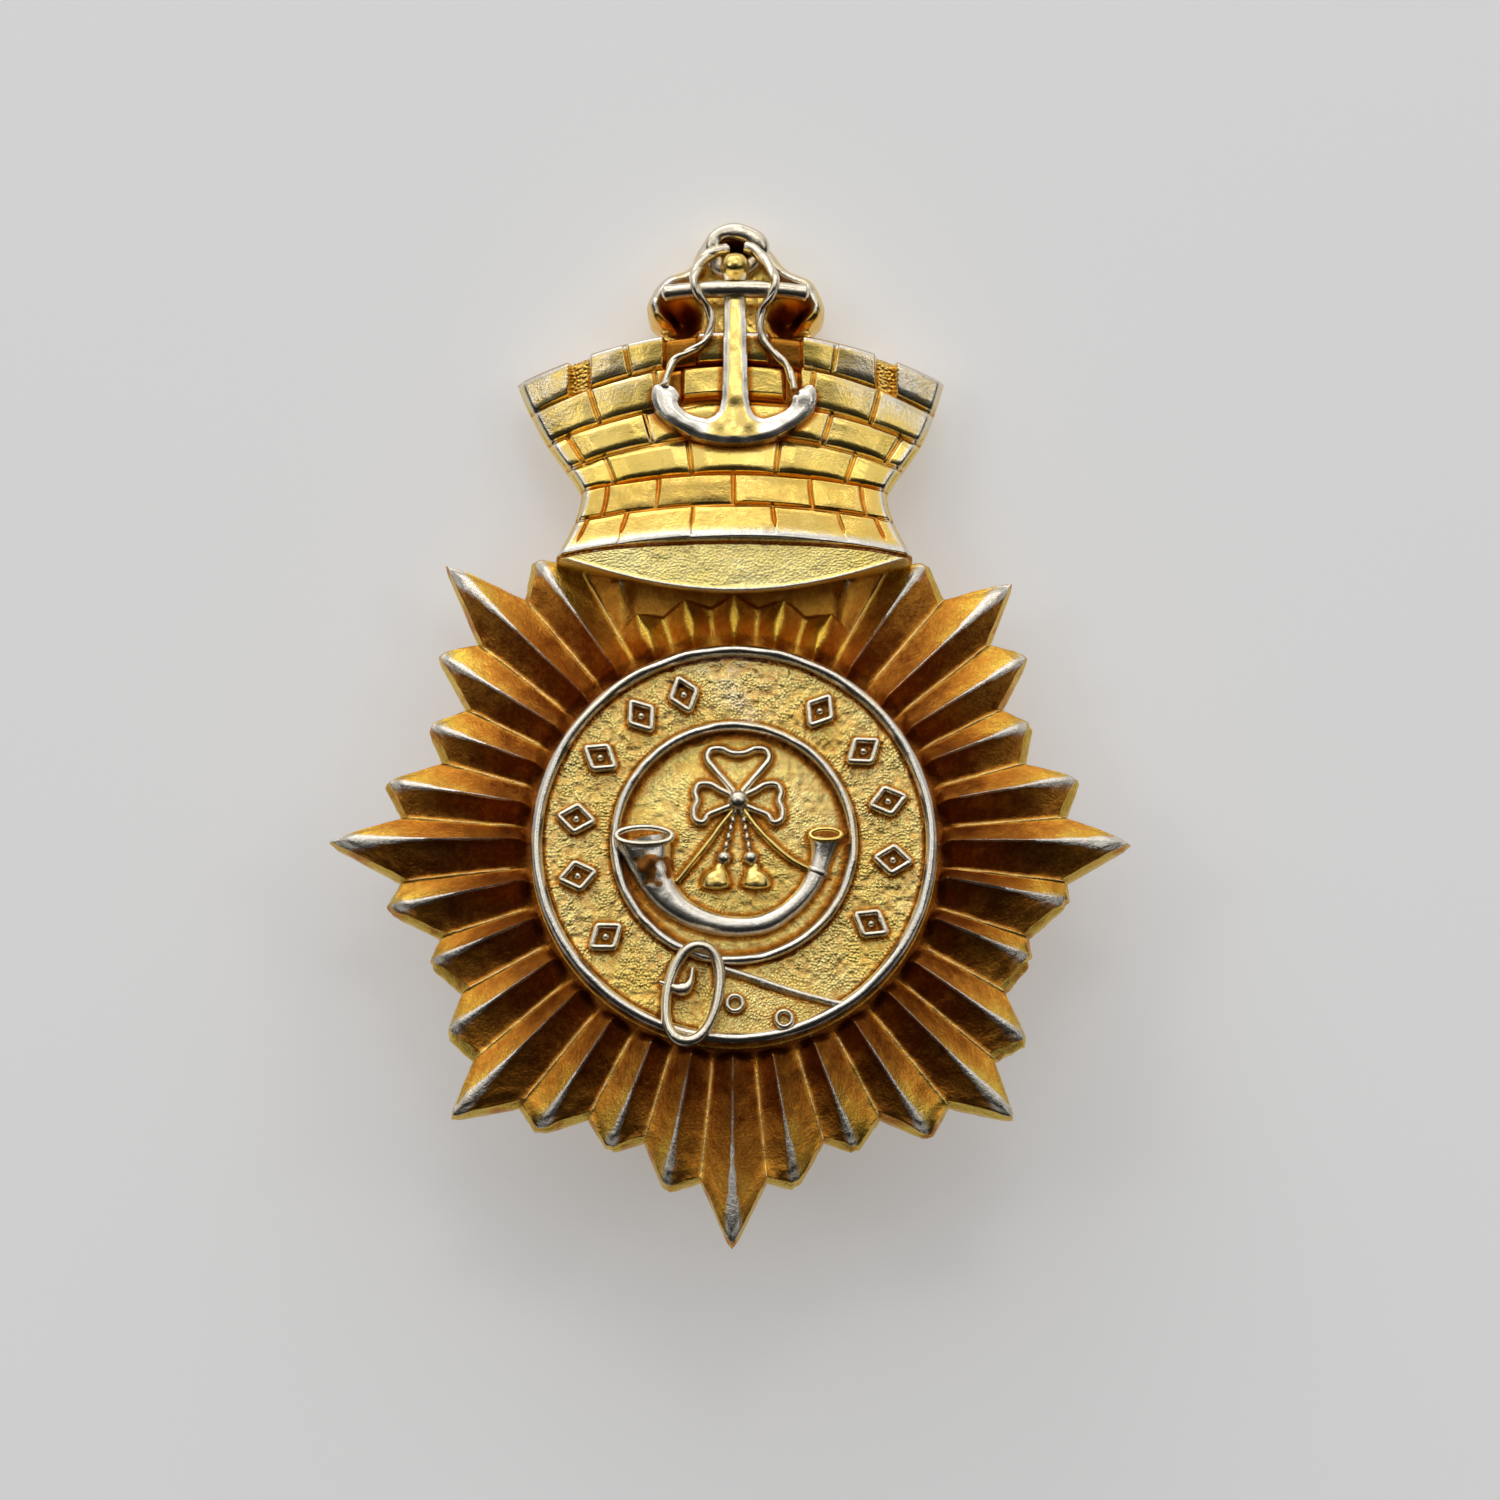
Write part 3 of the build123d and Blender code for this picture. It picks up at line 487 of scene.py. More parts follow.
def badge_metal(name, colours, wear, tone, roughness, bump, grain=0.16):
    """Gilding toned amber to brown where the tone attribute is high, and worn to white metal by wear. In
    places the tone attribute also carries painted shade and painted light, and the wear attribute a painted
    sheen.

    wear is the attribute's gain, the share of the blotches and the least wear anywhere. tone is the
    attribute's gain and the shares of the blotches and the specks. roughness is that of the gilding,
    that of the white metal and the share of the blotches.
    """
    material = bpy.data.materials.new(name)
    material.use_nodes = True
    tree = material.node_tree
    tree.nodes.clear()

    def maths(operation, a, b, clamp=False):
        return add_node(tree, "ShaderNodeMath", {0: a, 1: b}, operation=operation, use_clamp=clamp).outputs[0]

    def centred(value, share):
        """A 0 to 1 value as a swing about zero."""
        return maths("MULTIPLY", maths("SUBTRACT", value, 0.5), share)

    def noise(scale, detail, rough=0.6):
        made = add_node(
            tree, "ShaderNodeTexNoise",
            {"Vector": place, "Scale": scale, "Detail": detail, "Roughness": rough},
        )
        return made.outputs["Fac"]

    def mix(factor, a, b):
        made = add_node(tree, "ShaderNodeMix", data_type="RGBA")
        tree.links.new(factor, made.inputs["Factor"])
        for socket, value in ((made.inputs["A"], a), (made.inputs["B"], b)):
            if isinstance(value, tuple):
                socket.default_value = (*value, 1)
            else:
                tree.links.new(value, socket)
        return made.outputs["Result"]

    def ramp(factor, *stops):
        made = add_node(tree, "ShaderNodeValToRGB", {"Fac": factor})
        set_ramp(made.color_ramp, stops)
        return made.outputs["Color"]

    def attribute(key):
        return add_node(tree, "ShaderNodeAttribute", attribute_name=key).outputs["Fac"]

    place = add_node(tree, "ShaderNodeTexCoord").outputs["Object"]
    wear_value, tone_value = attribute("wear"), attribute("tone")
    broad, blotch = noise(260, 3), noise(1500, 5, 0.65)
    fine, speck = noise(7000, 4, 0.7), noise(4200, 6, 0.75)
    light, base, amber, dark, silver = colours

    gold = mix(ramp(broad, (0.35, 0.0), (0.65, 1.0)), base, light)
    # How toned: the attribute, plus a share of it that comes and goes in blotches and specks
    spread = maths("ADD", centred(blotch, tone[1]), centred(speck, tone[2]))
    toned = maths("ADD", maths("MULTIPLY", tone_value, tone[0]), spread, clamp=True)
    to_amber = ramp(toned, (0.08, 0.0), (0.5, 1.0))
    to_dark = ramp(toned, (0.5, 0.0), (1.0, 1.0))
    colour = mix(to_dark, mix(to_amber, gold, amber), dark)
    # How worn: edges first, broken up by scratches and rubs
    rub = centred(fine, maths("ADD", maths("MULTIPLY", wear_value, 1.2), 0.12))
    worn = maths("ADD", maths("MULTIPLY", wear_value, wear[0]), rub)
    worn = maths("ADD", worn, centred(blotch, wear[1]), clamp=True)
    worn = maths("MAXIMUM", worn, wear[2])
    worn = ramp(worn, (0.22, 0.0), (0.62, 1.0))
    colour = mix(worn, colour, silver)

    rough = maths("ADD", roughness[0], centred(blotch, roughness[2]))
    rough = maths("ADD", rough, maths("MULTIPLY", to_amber, 0.10))
    rough = maths("ADD", rough, maths("MULTIPLY", worn, roughness[1] - roughness[0]), clamp=True)
    relief = maths("ADD", fine, maths("MULTIPLY", blotch, 0.8))
    bumps = add_node(tree, "ShaderNodeBump", {"Strength": bump, "Distance": grain * MM, "Height": relief})
    shader = add_node(tree, "ShaderNodeBsdfPrincipled", {
        "Metallic": 1.0, "Base Color": colour, "Roughness": rough, "Normal": bumps.outputs["Normal"],
    })
    add_node(tree, "ShaderNodeOutputMaterial", {"Surface": shader.outputs["BSDF"]})
    return material


SILVERED = (PALE_GOLD, (0.88, 0.68, 0.28), (0.46, 0.24, 0.06), DARK, SILVER)
metals = {
    "rays": badge_metal(
        "badge_rays", ((0.84, 0.58, 0.09), (0.74, 0.44, 0.05), AMBER, DARK, SILVER),
        wear=(1.0, 0.15, 0.0), tone=(1.0, 0.45, 0.9), roughness=(0.22, 0.15, 0.12), bump=0.45, grain=0.12,
    ),
    "bricks": badge_metal(
        "badge_bricks", (PALE_GOLD, (0.85, 0.60, 0.13), AMBER, DARK, SILVER),
        wear=(1.0, 0.35, 0.0), tone=(1.0, 0.30, 0.25), roughness=(0.14, 0.15, 0.14), bump=0.16,
    ),
    "pebbled": badge_metal(
        "badge_pebbled", ((0.96, 0.82, 0.34), (0.93, 0.73, 0.20), AMBER, DARK, SILVER),
        wear=(0.8, 0.3, 0.0), tone=(1.0, 0.30, 0.70), roughness=(0.15, 0.16, 0.12), bump=0.55, grain=0.10,
    ),
    "worn": badge_metal(
        "badge_worn", (PALE_GOLD, (0.88, 0.64, 0.20), AMBER, DARK, SILVER),
        wear=(1.3, 0.45, 0.10), tone=(1.0, 0.3, 0.0), roughness=(0.19, 0.18, 0.12), bump=0.12,
    ),
    "silver": badge_metal(
        "badge_silver", SILVERED,
        wear=(1.2, 0.8, 0.55), tone=(1.0, 0.3, 0.0), roughness=(0.19, 0.15, 0.14), bump=0.16,
    ),
    "horn": badge_metal(
        "badge_horn", SILVERED,
        wear=(1.2, 0.8, 0.0), tone=(1.0, 0.3, 0.0), roughness=(0.22, 0.17, 0.16), bump=0.2,
    ),
    "wire": badge_metal(
        "badge_wire", ((0.72, 0.52, 0.25), (0.62, 0.43, 0.19), (0.40, 0.22, 0.08), DARK, (0.80, 0.70, 0.50)),
        wear=(0.6, 0.3, 0.0), tone=(1.0, 0.5, 0.0), roughness=(0.34, 0.28, 0.15), bump=0.2,
    ),
}

# ---------------------------------------------------------------- star

RAYS = 32
RAY_STEP = 2 * math.pi / RAYS
# Each ray's length and how far it strays in degrees, from the one on the right round to the left and back
RAY_LENGTHS = np.array((
    19.65, 17.4, 16.0, 17.6, 19.5, 17.5, 16.1, 17.3, LONG_RAY, 17.3, 16.1, 17.9, 20.6, 17.8, 16.4, 17.6,
    20.1, 17.3, 15.9, 16.7, 19.2, 16.9, 16.0, 17.1, 19.7, 16.9, 16.0, 17.1, 19.1, 17.2, 15.5, 16.6,
))
RAY_STRAYS = np.radians((
    1.0, 0.7, 0.9, 0.1, -0.6, 0.8, 0, 0, 0, 0, 0, 0.1, -0.2, -0.1, 0, 0.1,
    -1.3, -1.4, -1.8, -0.7, -1.1, -0.5, 0.3, 0.0, -0.3, -1.0, -0.9, -0.2, 0.6, 0.1, 2.0, 2.2,
))
NOTCHES = np.array((
    16.6, 15.2, 15.2, 16.6, 16.6, 16.4, 15.6, 16.6, 16.6, 15.6, 16.4, 16.6, 16.6, 15.2, 15.2, 16.6,
    16.6, 15.2, 15.2, 16.6, 16.6, 15.2, 15.2, 16.6, 16.6, 15.2, 15.2, 16.6, 16.6, 15.2, 15.2, 16.6,
))
TIP_HEIGHT, EDGE_HEIGHT = 1.15, 1.0
# The wall below the front's edge: how far down each ring is, and how far out towards the outline
WALL_STEPS = (
    (0.04, 0.08), (0.14, 0.30), (0.30, 0.62), (0.42, 0.84),
    (0.52, 0.98), (0.70, 1.0), (0.90, 1.0), (0.985, 0.93),
)
# The rays start at the garter, with these heights
HUB = RIM_OUTER + 0.05
HUB_RIDGE, HUB_VALLEY = 2.55, 1.55
# Rays longer than this have broader crests
LONG_RAYS_FROM = 19
# The pocket in the back, from its rim inwards: each ring's radius and height
POCKET_STEPS = ((12.5, 0.0), (12.5, 0.1), (12.25, 0.7), (12.0, 0.8), (10.0, 0.78), (7.0, 0.8))
POCKET_FLOOR = 0.8


def make_star():
    """The rayed plate: sharp ridges worn flat towards their tips, with a fine raised line in each valley."""
    # Columns crowd towards each ridge and each valley
    half = np.array((0, 0.02, 0.05, 0.09, 0.14, 0.2, 0.28, 0.38, 0.5, 0.62, 0.73, 0.82, 0.89, 0.94, 0.975))
    across = np.unique(np.concatenate((half, [1.0], 2 - half[2:])))
    rng = np.random.default_rng(7)
    rows = 82
    half_step = RAY_STEP / 2
    columns = []
    for ray in range(RAYS):
        tip, next_tip = RAY_LENGTHS[ray], RAY_LENGTHS[(ray + 1) % RAYS]
        notch = NOTCHES[ray]
        for s in across:
            near = s if s <= 1 else 2 - s
            own = tip if s <= 1 else next_tip
            index = ray if s <= 1 else (ray + 1) % RAYS
            angle = (ray + s / 2) * RAY_STEP
            # A straight edge from tip to notch, its point slightly blunt
            a = near * half_step
            point = own + 0.26
            across_both = point * math.sin(a) + notch * math.sin(half_step - a)
            edge = point * notch * math.sin(half_step) / across_both
            blunt = 0.22 * math.exp(-((near / 0.09) ** 2))
            # A straying ray carries its flanks with it, and the valleys stay
            angle += RAY_STRAYS[index] * (1 - near)
            columns.append((angle, edge - blunt, near, own, index, notch, 1 if s <= 1 else -1))
    angle, edge, near, own, index, notch, side = np.array(columns).T
    lift = rng.normal(0, 0.03, RAYS)[index.astype(int)]
    sway = rng.normal(0, 1, RAYS)[index.astype(int)]
    t = np.linspace(0, 1, rows)[:, None] ** 0.92
    # The front stops short of the outline, and a sloping wall runs on from it
    downward = smooth_step(-0.2, 0.7, -np.cos(angle) * side) * smooth_step(0.0, 0.25, near)
    rim_x, rim_z = edge * np.cos(angle), edge * np.sin(angle)
    slant = 0.17 + 0.30 * downward + 0.14 * (value_noise(rim_x, rim_z, 0.7, 12) - 0.5)
    r = HUB + (edge[None] - slant - HUB) * t
    reach = (r - HUB) / (own - HUB)[None]
    ridge = HUB_RIDGE - (HUB_RIDGE - TIP_HEIGHT) * reach**1.7 + lift[None]
    valley = HUB_VALLEY - (HUB_VALLEY - EDGE_HEIGHT) * ((r - HUB) / (notch - HUB)[None]) ** 1.2
    valley = np.maximum(valley, EDGE_HEIGHT * 0.9)
    ridge = np.maximum(ridge, valley + 0.02)
    # The distance from the ridge line, in millimetres, and the crest's flat, which widens to the tip
    far = near[None] * RAY_STEP / 2 * r
    crest = 0.045 + np.where(own > LONG_RAYS_FROM, 0.24, 0.13)[None] * smooth_step(0.45, 0.95, reach)
    half_width = RAY_STEP / 2 * r
    x, z = r * np.cos(angle)[None], r * np.sin(angle)[None]
    # Between the garter and the crown each ridge ends in a spindle, short of the crown's seat
    below_crown = smooth_step(5.9, 4.9, np.abs(x)) * smooth_step(8.5, 9.5, z)
    crest = crest + 0.17 * below_crown * hump(r, 11.5, 0.75)
    ends = 12.25 + 0.5 * (1 - near)[None]
    recess = below_crown * smooth_step(ends - 0.1, ends + 0.15, r)
    slope = np.clip((far - crest) / np.maximum(half_width - crest, 0.05), 0, 1)
    slope = slope + np.sin(slope * math.pi) * (0.025 * sway[None] + 0.07)
    height = ridge + (valley - ridge) * slope - 0.05 * (far / np.maximum(crest, 1e-6)).clip(0, 1) ** 2
    # The raised line along the valley's floor
    from_valley = half_width - far
    line = np.exp(-((from_valley / 0.07) ** 2)) * smooth_step(0.04, 0.14, reach)
    height = height + 0.10 * line * (0.7 + 0.6 * value_noise(x, z, 0.6, 15))
    # Each tip turns down at its very end, and is ragged on its lower side
    height = height - 0.30 * smooth_step(0.88, 1.0, t) ** 2 * np.exp(-((near[None] / 0.4) ** 2))
    ragged = value_noise(x, z, 0.5, 8) - 0.5
    height = height + 0.16 * ragged * smooth_step(0.82, 0.97, t)
    height = height + (1.2 - height) * recess * smooth_step(-0.1, 0.1, height - 1.2)
    # A narrow moat round the garter
    moat = smooth_step(0.62 + 0.25 * slope, 0.12, r - HUB)
    height = height + (DECK_HEIGHT - 0.1 - height) * moat * 0.95
    height = height + (value_noise(x, z, 0.9, 3) - 0.5) * 0.08 * smooth_step(0, 0.3, slope)
    height = height + (value_noise(x, z, 0.36, 4) - 0.5) * 0.035 * smooth_step(0.05, 0.4, slope)
    # The crown's seat
    crowned = (z > 13.6) & (np.abs(x) < 8.3)
    height = np.where(crowned, np.minimum(height, 1.35), height)

    front = np.stack((x, height, z), -1)
    # The edge: a sloping wall that turns upright, a little ragged
    wall = []
    for drop, out_share in WALL_STEPS:
        ring = front[-1].copy()
        radius = edge - slant * (1 - out_share)
        radius = radius + 0.10 * (value_noise(rim_x, rim_z, 0.35, 13 + len(wall)) - 0.5)
        ring[:, 0] = radius * np.cos(angle)
        ring[:, 2] = radius * np.sin(angle)
        ring[:, 1] = front[-1][:, 1] * (1 - drop)
        wall.append(ring)
    # The back: a flat rim, then the pocket
    back = []
    for radius, level in POCKET_STEPS:
        ring = np.stack((radius * np.cos(angle), np.full_like(angle, level), radius * np.sin(angle)), -1)
        back.append(ring)
    flat = wall[-1].copy()
    flat[:, 1] = 0.0
    rings = np.concatenate((front, np.array(wall), flat[None], np.array(back)))
    # The deck, which the garter covers
    deck = np.stack((HUB * np.cos(angle), np.full_like(angle, DECK_HEIGHT), HUB * np.sin(angle)), -1)
    deck_in = deck * np.array((0.7, 1, 0.7))
    rings = np.concatenate((deck_in[None], deck[None], rings))
    points = rings.reshape(-1, 3)
    count = len(angle)
    faces = grid_faces(len(rings), count, wrap=True)
    # Close both middles with fans
    top, bottom = len(points), len(points) + 1
    points = np.concatenate((points, [(0, DECK_HEIGHT, 0), (0, POCKET_FLOOR, 0)]))
    last = (len(rings) - 1) * count
    for c in range(count):
        n = (c + 1) % count
        faces.append((top, n, c))
        faces.append((bottom, last + c, last + n))

    wear = np.zeros(rings.shape[:2])
    tone = np.full(rings.shape[:2], 0.35)
    body = slice(2, 2 + rows)
    crest_wear = 1 - smooth_step(0.85, 1.25, far / (crest + 0.02))
    tip_wear = smooth_step(0.55, 1.0, reach) * (1 - smooth_step(0.05, 0.5, slope)) * 0.5
    scuff = 0.75 + 0.5 * (value_noise(x, z, 0.6, 10) - 0.5)
    wear[body] = np.maximum(crest_wear * (0.30 + 0.70 * smooth_step(0.05, 0.5, reach)), tip_wear) * scuff
    depth = smooth_step(0.05, 0.75, slope)
    outward = smooth_step(0.15, 1.0, reach)
    mottle = value_noise(x, z, 0.75, 5) * 0.6 + value_noise(x, z, 0.34, 6) * 0.4
    # Painted shade: the flanks that face down are darkened, and the flanks that face up are painted lighter
    # towards their tips
    down_facing_shade = smooth_step(-0.35, 0.5, -np.cos(angle)[None] * side[None])
    tone[body] = 0.32 + 0.24 * depth - 0.20 * outward * (1 - down_facing_shade) + 0.28 * (1 - outward)
    beside_crest = smooth_step(0.45, 0.05, far - crest)
    tone[body] += down_facing_shade * (0.12 - 0.10 * smooth_step(0.4, 1.0, slope) + 0.22 * beside_crest)
    tone[body] += (mottle - 0.5) * 0.5 * (1 - 0.5 * outward)
    # Darker in the moat round the garter: painted shade under the garter's edge, and toning
    tone[body] += 0.40 * smooth_step(0.5, 0.1, r - HUB)
    tone[body] += 0.10 * down_facing_shade
    # Painted light: under the crown the rays are painted lighter, against the shade the crown casts on them
    tone[body] -= 0.42 * smooth_step(8.5, 10.5, z) * smooth_step(7.5, 5.0, np.abs(x))
    tone[body] -= 0.30 * below_crown * (1 - smooth_step(0.9, 1.5, far / (crest + 0.02)))
    tone[body] = np.clip(tone[body] * (1 - 0.85 * line), 0, 1)
    tone[body] = tone[body] + (0.48 - tone[body]) * recess
    wear[body] = np.maximum(wear[body], 0.34 * line)
    wear[body] = wear[body] * (1 - 0.75 * below_crown) * (1 - recess)
    tone[2 + rows:] = 0.25 + 0.5 * (value_noise(rings[2 + rows:, :, 0], rings[2 + rows:, :, 2], 0.7, 9) - 0.5)
    walls = slice(2 + rows, 2 + rows + len(WALL_STEPS))
    burr = value_noise(rings[walls, :, 0], rings[walls, :, 2], 0.45, 14)
    tone[walls] = 0.06 + 0.5 * smooth_step(0.55, 0.85, burr)
    wear[walls] = 0.22 * smooth_step(0.5, 0.2, burr)
    return sheet_piece(
        "star", (points, faces), wear, tone, 0.2, "star_plate", metals["rays"]
    )


make_star()

# ---------------------------------------------------------------- crown

# Course lines from the lip to the top: the height at the middle and at the sides
COURSE_MIDDLE = np.array((15.1, 16.95, 18.6, 20.55, 22.3, 24.3, 25.95))
COURSE_SIDE = np.array((14.5, 16.35, 17.95, 19.2, 20.6, 22.2, 23.9))
OUTLINE_Z = np.array((14.5, 15.2, 16.3, 17.2, 17.9, 18.7, 19.6, 20.75, 22.3, 23.9))
OUTLINE_X = np.array((8.9, 8.5, 7.98, 7.7, 7.65, 8.05, 8.7, 9.45, 10.1, 10.6))
JOINTS = (
    (-7.7, -5.6, -2.1, 2.0, 5.4, 7.4),
    (-6.4, -3.8, -0.05, 3.8, 6.4),
    (-6.2, -2.2, 2.15, 5.8),
    (-8.0, -4.3, 4.67, 8.0),
    (-7.0, -3.9, 3.9, 7.1),
    (-5.3, 5.05),
)
FRONT_Z = np.array((12.0, 15.2, 16.5, 18.0, 20.5, 23.5, 27.0))
FRONT_HEIGHT = np.array((4.22, 4.12, 3.94, 3.78, 3.68, 4.0, 4.55))
CROWN_AXIS_DEPTH = 24.0
CROWN_BACK = 1.0


def smooth_curve(x, xs, ys):
    """A smooth curve through points, by cubic Hermite spans."""
    xs, ys = np.asarray(xs, float), np.asarray(ys, float)
    m = np.gradient(ys, xs)
    i = np.clip(np.searchsorted(xs, x) - 1, 0, len(xs) - 2)
    w = xs[i + 1] - xs[i]
    t = np.clip((x - xs[i]) / w, 0, 1)
    return (
        (1 + 2 * t) * (1 - t) ** 2 * ys[i] + t * (1 - t) ** 2 * w * m[i]
        + t * t * (3 - 2 * t) * ys[i + 1] + t * t * (t - 1) * w * m[i + 1]
    )


def crown_front(x, z):
    """The height of the crown's curved wall, before its bricks."""
    reach = smooth_curve(z, FRONT_Z, FRONT_HEIGHT) + CROWN_AXIS_DEPTH
    return np.sqrt(np.maximum(reach**2 - x**2, 0)) - CROWN_AXIS_DEPTH


def make_crown(overlays):
    rows, columns = 244, 370
    c = np.linspace(0, 6, rows)[:, None]
    u = np.linspace(-1, 1, columns)[None]
    middle = smooth_curve(c, np.arange(7), COURSE_MIDDLE)
    side = smooth_curve(c, np.arange(7), COURSE_SIDE)
    width = smooth_curve(side, OUTLINE_Z, OUTLINE_X)
    # The left wing flares a little further than the right one
    x = u * width * (1 + 0.035 * smooth_step(20.0, 24.0, side) * smooth_step(0.0, -1.0, u))
    z = middle - (middle - side) * u**2
    course = np.clip(c.astype(int), 0, 5)
    part = c - course
    tall = np.diff(COURSE_MIDDLE)[course]
    # Distances to the mortar lines above and below, and to the joints, in millimetres
    below, above = part * tall, (1 - part) * tall
    below = np.where(course == 0, 9.0, below) + 0 * x
    above = above + 0 * x
    beside = np.full(x.shape, 9.0)
    brick = np.zeros(x.shape)
    for k, joints in enumerate(JOINTS):
        row = (course == k)[:, 0]
        mid_side = np.array((COURSE_SIDE[k] + COURSE_SIDE[k + 1]) / 2)
        mid_width = float(smooth_curve(mid_side, OUTLINE_Z, OUTLINE_X))
        for at in joints:
            d = np.abs(u * width - at / mid_width * width)
            if k == 0:
                d = d + 0.16 * smooth_step(0.55, 0.2, part) * 1.0
            beside[row] = np.minimum(beside[row], d[row])
            brick[row] += (u * width > at / mid_width * width)[row]
    line_gap = 0.035
    edge = np.minimum(np.minimum(below, above), beside) - line_gap
    plateau = smooth_step(0.0, 0.11, edge)
    # Each brick sits a little high or low and leans a little about its own middle
    rng = np.random.default_rng(11)
    lift = rng.normal(0, 0.03, (6, 12))
    lean_x = rng.normal(0, 0.035, (6, 12))
    lean_z = rng.normal(0, 0.10, (6, 12))
    b = brick.astype(int)
    k = course + 0 * b
    middles = np.zeros((6, 12))
    for row, joints in enumerate(JOINTS):
        ends = (-9.5, *joints, 9.5)
        middles[row, : len(ends) - 1] = [(p + q) / 2 for p, q in zip(ends, ends[1:])]
    # Bricks bulge like cushions, most of all in the middle courses
    upright = 2 * below * above / (below + above)
    bulge = np.array((0.06, 0.06, 0.20, 0.20, 0.13, 0.10))[course]
    puff = bulge * (1 - smooth_step(0.0, 0.75, upright) * (0.45 + 0.55 * smooth_step(0.0, 0.9, beside)))
    height = crown_front(x, z) - 0.17 * (1 - plateau) - puff
    height += plateau * (lift[k, b] + lean_x[k, b] * (x - middles[k, b]) + lean_z[k, b] * (part - 0.5))
    tone = 0.03 + 0.34 * (1 - plateau) + 0.13 * smooth_step(2.6, 1.8, c)
    wear = np.zeros(x.shape)

    # Embrasures: cut down to a pebbled floor
    top = smooth_step(5.0, 5.07, c)
    grain = pebbles(x, z, 0.2, 21)
    sunk = np.zeros(x.shape)
    for left, right in ((-8.38, -7.2), (7.05, 8.2)):
        inside = smooth_step(left, left + 0.16, x) * smooth_step(right, right - 0.16, x) * top
        floor = crown_front(x, z) - 1.0 + 0.06 * grain
        height = height + (floor - height) * inside
        tone = tone + (0.30 - 0.14 * grain - tone) * inside
        rim = np.maximum(hump(x, left, 0.16), hump(x, right, 0.16)) * top
        wear = np.maximum(wear, 0.25 * rim * (1 - inside))
        tone = np.maximum(tone, 0.85 * inside * (1 - smooth_step(0.0, 0.22, np.minimum(x - left, right - x))))
        sunk = np.maximum(sunk, inside)
    # The bay behind the anchor: a deep gap, with a panel of wall left standing in it
    bay = smooth_step(-3.62, -3.40, x) * smooth_step(3.48, 3.26, x) * smooth_step(4.98, 5.06, c)
    bay_low = smooth_step(-3.45, -3.2, x) * smooth_step(3.4, 3.15, x) * smooth_step(4.0, 4.1, c) * (1 - top)
    panel = smooth_step(-1.95, -1.75, x) * smooth_step(1.85, 1.65, x) * top
    panel_low = smooth_step(-2.68, -2.48, x) * smooth_step(2.6, 2.4, x)
    panel_low = panel_low * smooth_step(4.12, 4.25, c) * smooth_step(4.97, 4.85, c)
    height = height - 0.80 * bay * (1 - panel) - 0.25 * bay * panel
    height = height - 0.6 * bay_low * (1 - panel_low) - 0.10 * bay_low * panel_low
    deep = np.maximum(bay * (1 - panel), bay_low * (1 - panel_low))
    # Painted shade: the deep parts of the bay are darkened
    tone = np.maximum(tone, 0.72 * deep)
    flat = np.stack((x, height, z), -1).reshape(-1, 3)
    # Painted shadow: the wall is darkened close round the anchor and its ropes, which stand over it
    close = nearness(flat, overlays, 3.0, 0.42).reshape(x.shape)
    tone = np.maximum(tone, 0.85 * close)
    # The base lip and the outer edges roll over
    from_side = (1 - np.abs(u)) * width
    roll = smooth_step(0.35, 0.0, from_side)
    height = height - 0.28 * roll**2
    from_top = (6 - c) * tall + 0 * x
    height = height - 0.25 * smooth_step(0.3, 0.0, from_top) ** 2
    from_lip = c * 1.9 + 0 * x
    lip = hump(from_lip, 0.22, 0.30)
    fade = smooth_step(1.15, 0.3, from_lip)
    height = height + 0.05 * lip - 0.28 * smooth_step(0.18, 0.0, from_lip) ** 2

    # Silver where hands and polish reach: the lip, the outer edges and the upper bricks
    wear = np.maximum(wear, np.maximum(0.85 * lip, 0.42 * fade) * plateau)
    wear = np.maximum(wear, 0.6 * hump(from_side, 0.28, 0.2))
    wear = np.maximum(wear, 0.7 * hump(from_top, 0.2, 0.18) * (1 - deep))
    rub = value_noise(x, z, 2.6, 31) * 0.6 + value_noise(x, z, 0.8, 32) * 0.4
    upper = smooth_step(2.9, 5.4, c) * smooth_step(1.5, 7.8, np.abs(x))
    wear = np.maximum(wear, upper * (0.22 + 0.55 * rub) * plateau)
    rounded = smooth_step(0.0, 0.06, edge) * smooth_step(0.30, 0.12, edge)
    wear = np.maximum(wear, 0.5 * rounded * smooth_step(1.6, 3.0, c) * (1 - deep) * (0.2 + 0.8 * rub))
    wear = wear * (1 - sunk)
    tone = tone * (1 - 0.8 * wear)
    height = height + (value_noise(x, z, 1.3, 33) - 0.5) * 0.10 + (value_noise(x, z, 0.3, 34) - 0.5) * 0.006
    sheet = closed_sheet(np.stack((x, height, z), -1), CROWN_BACK)
    return sheet_piece("crown", sheet, wear, tone, 0.15, "crown_shell", metals["bricks"])


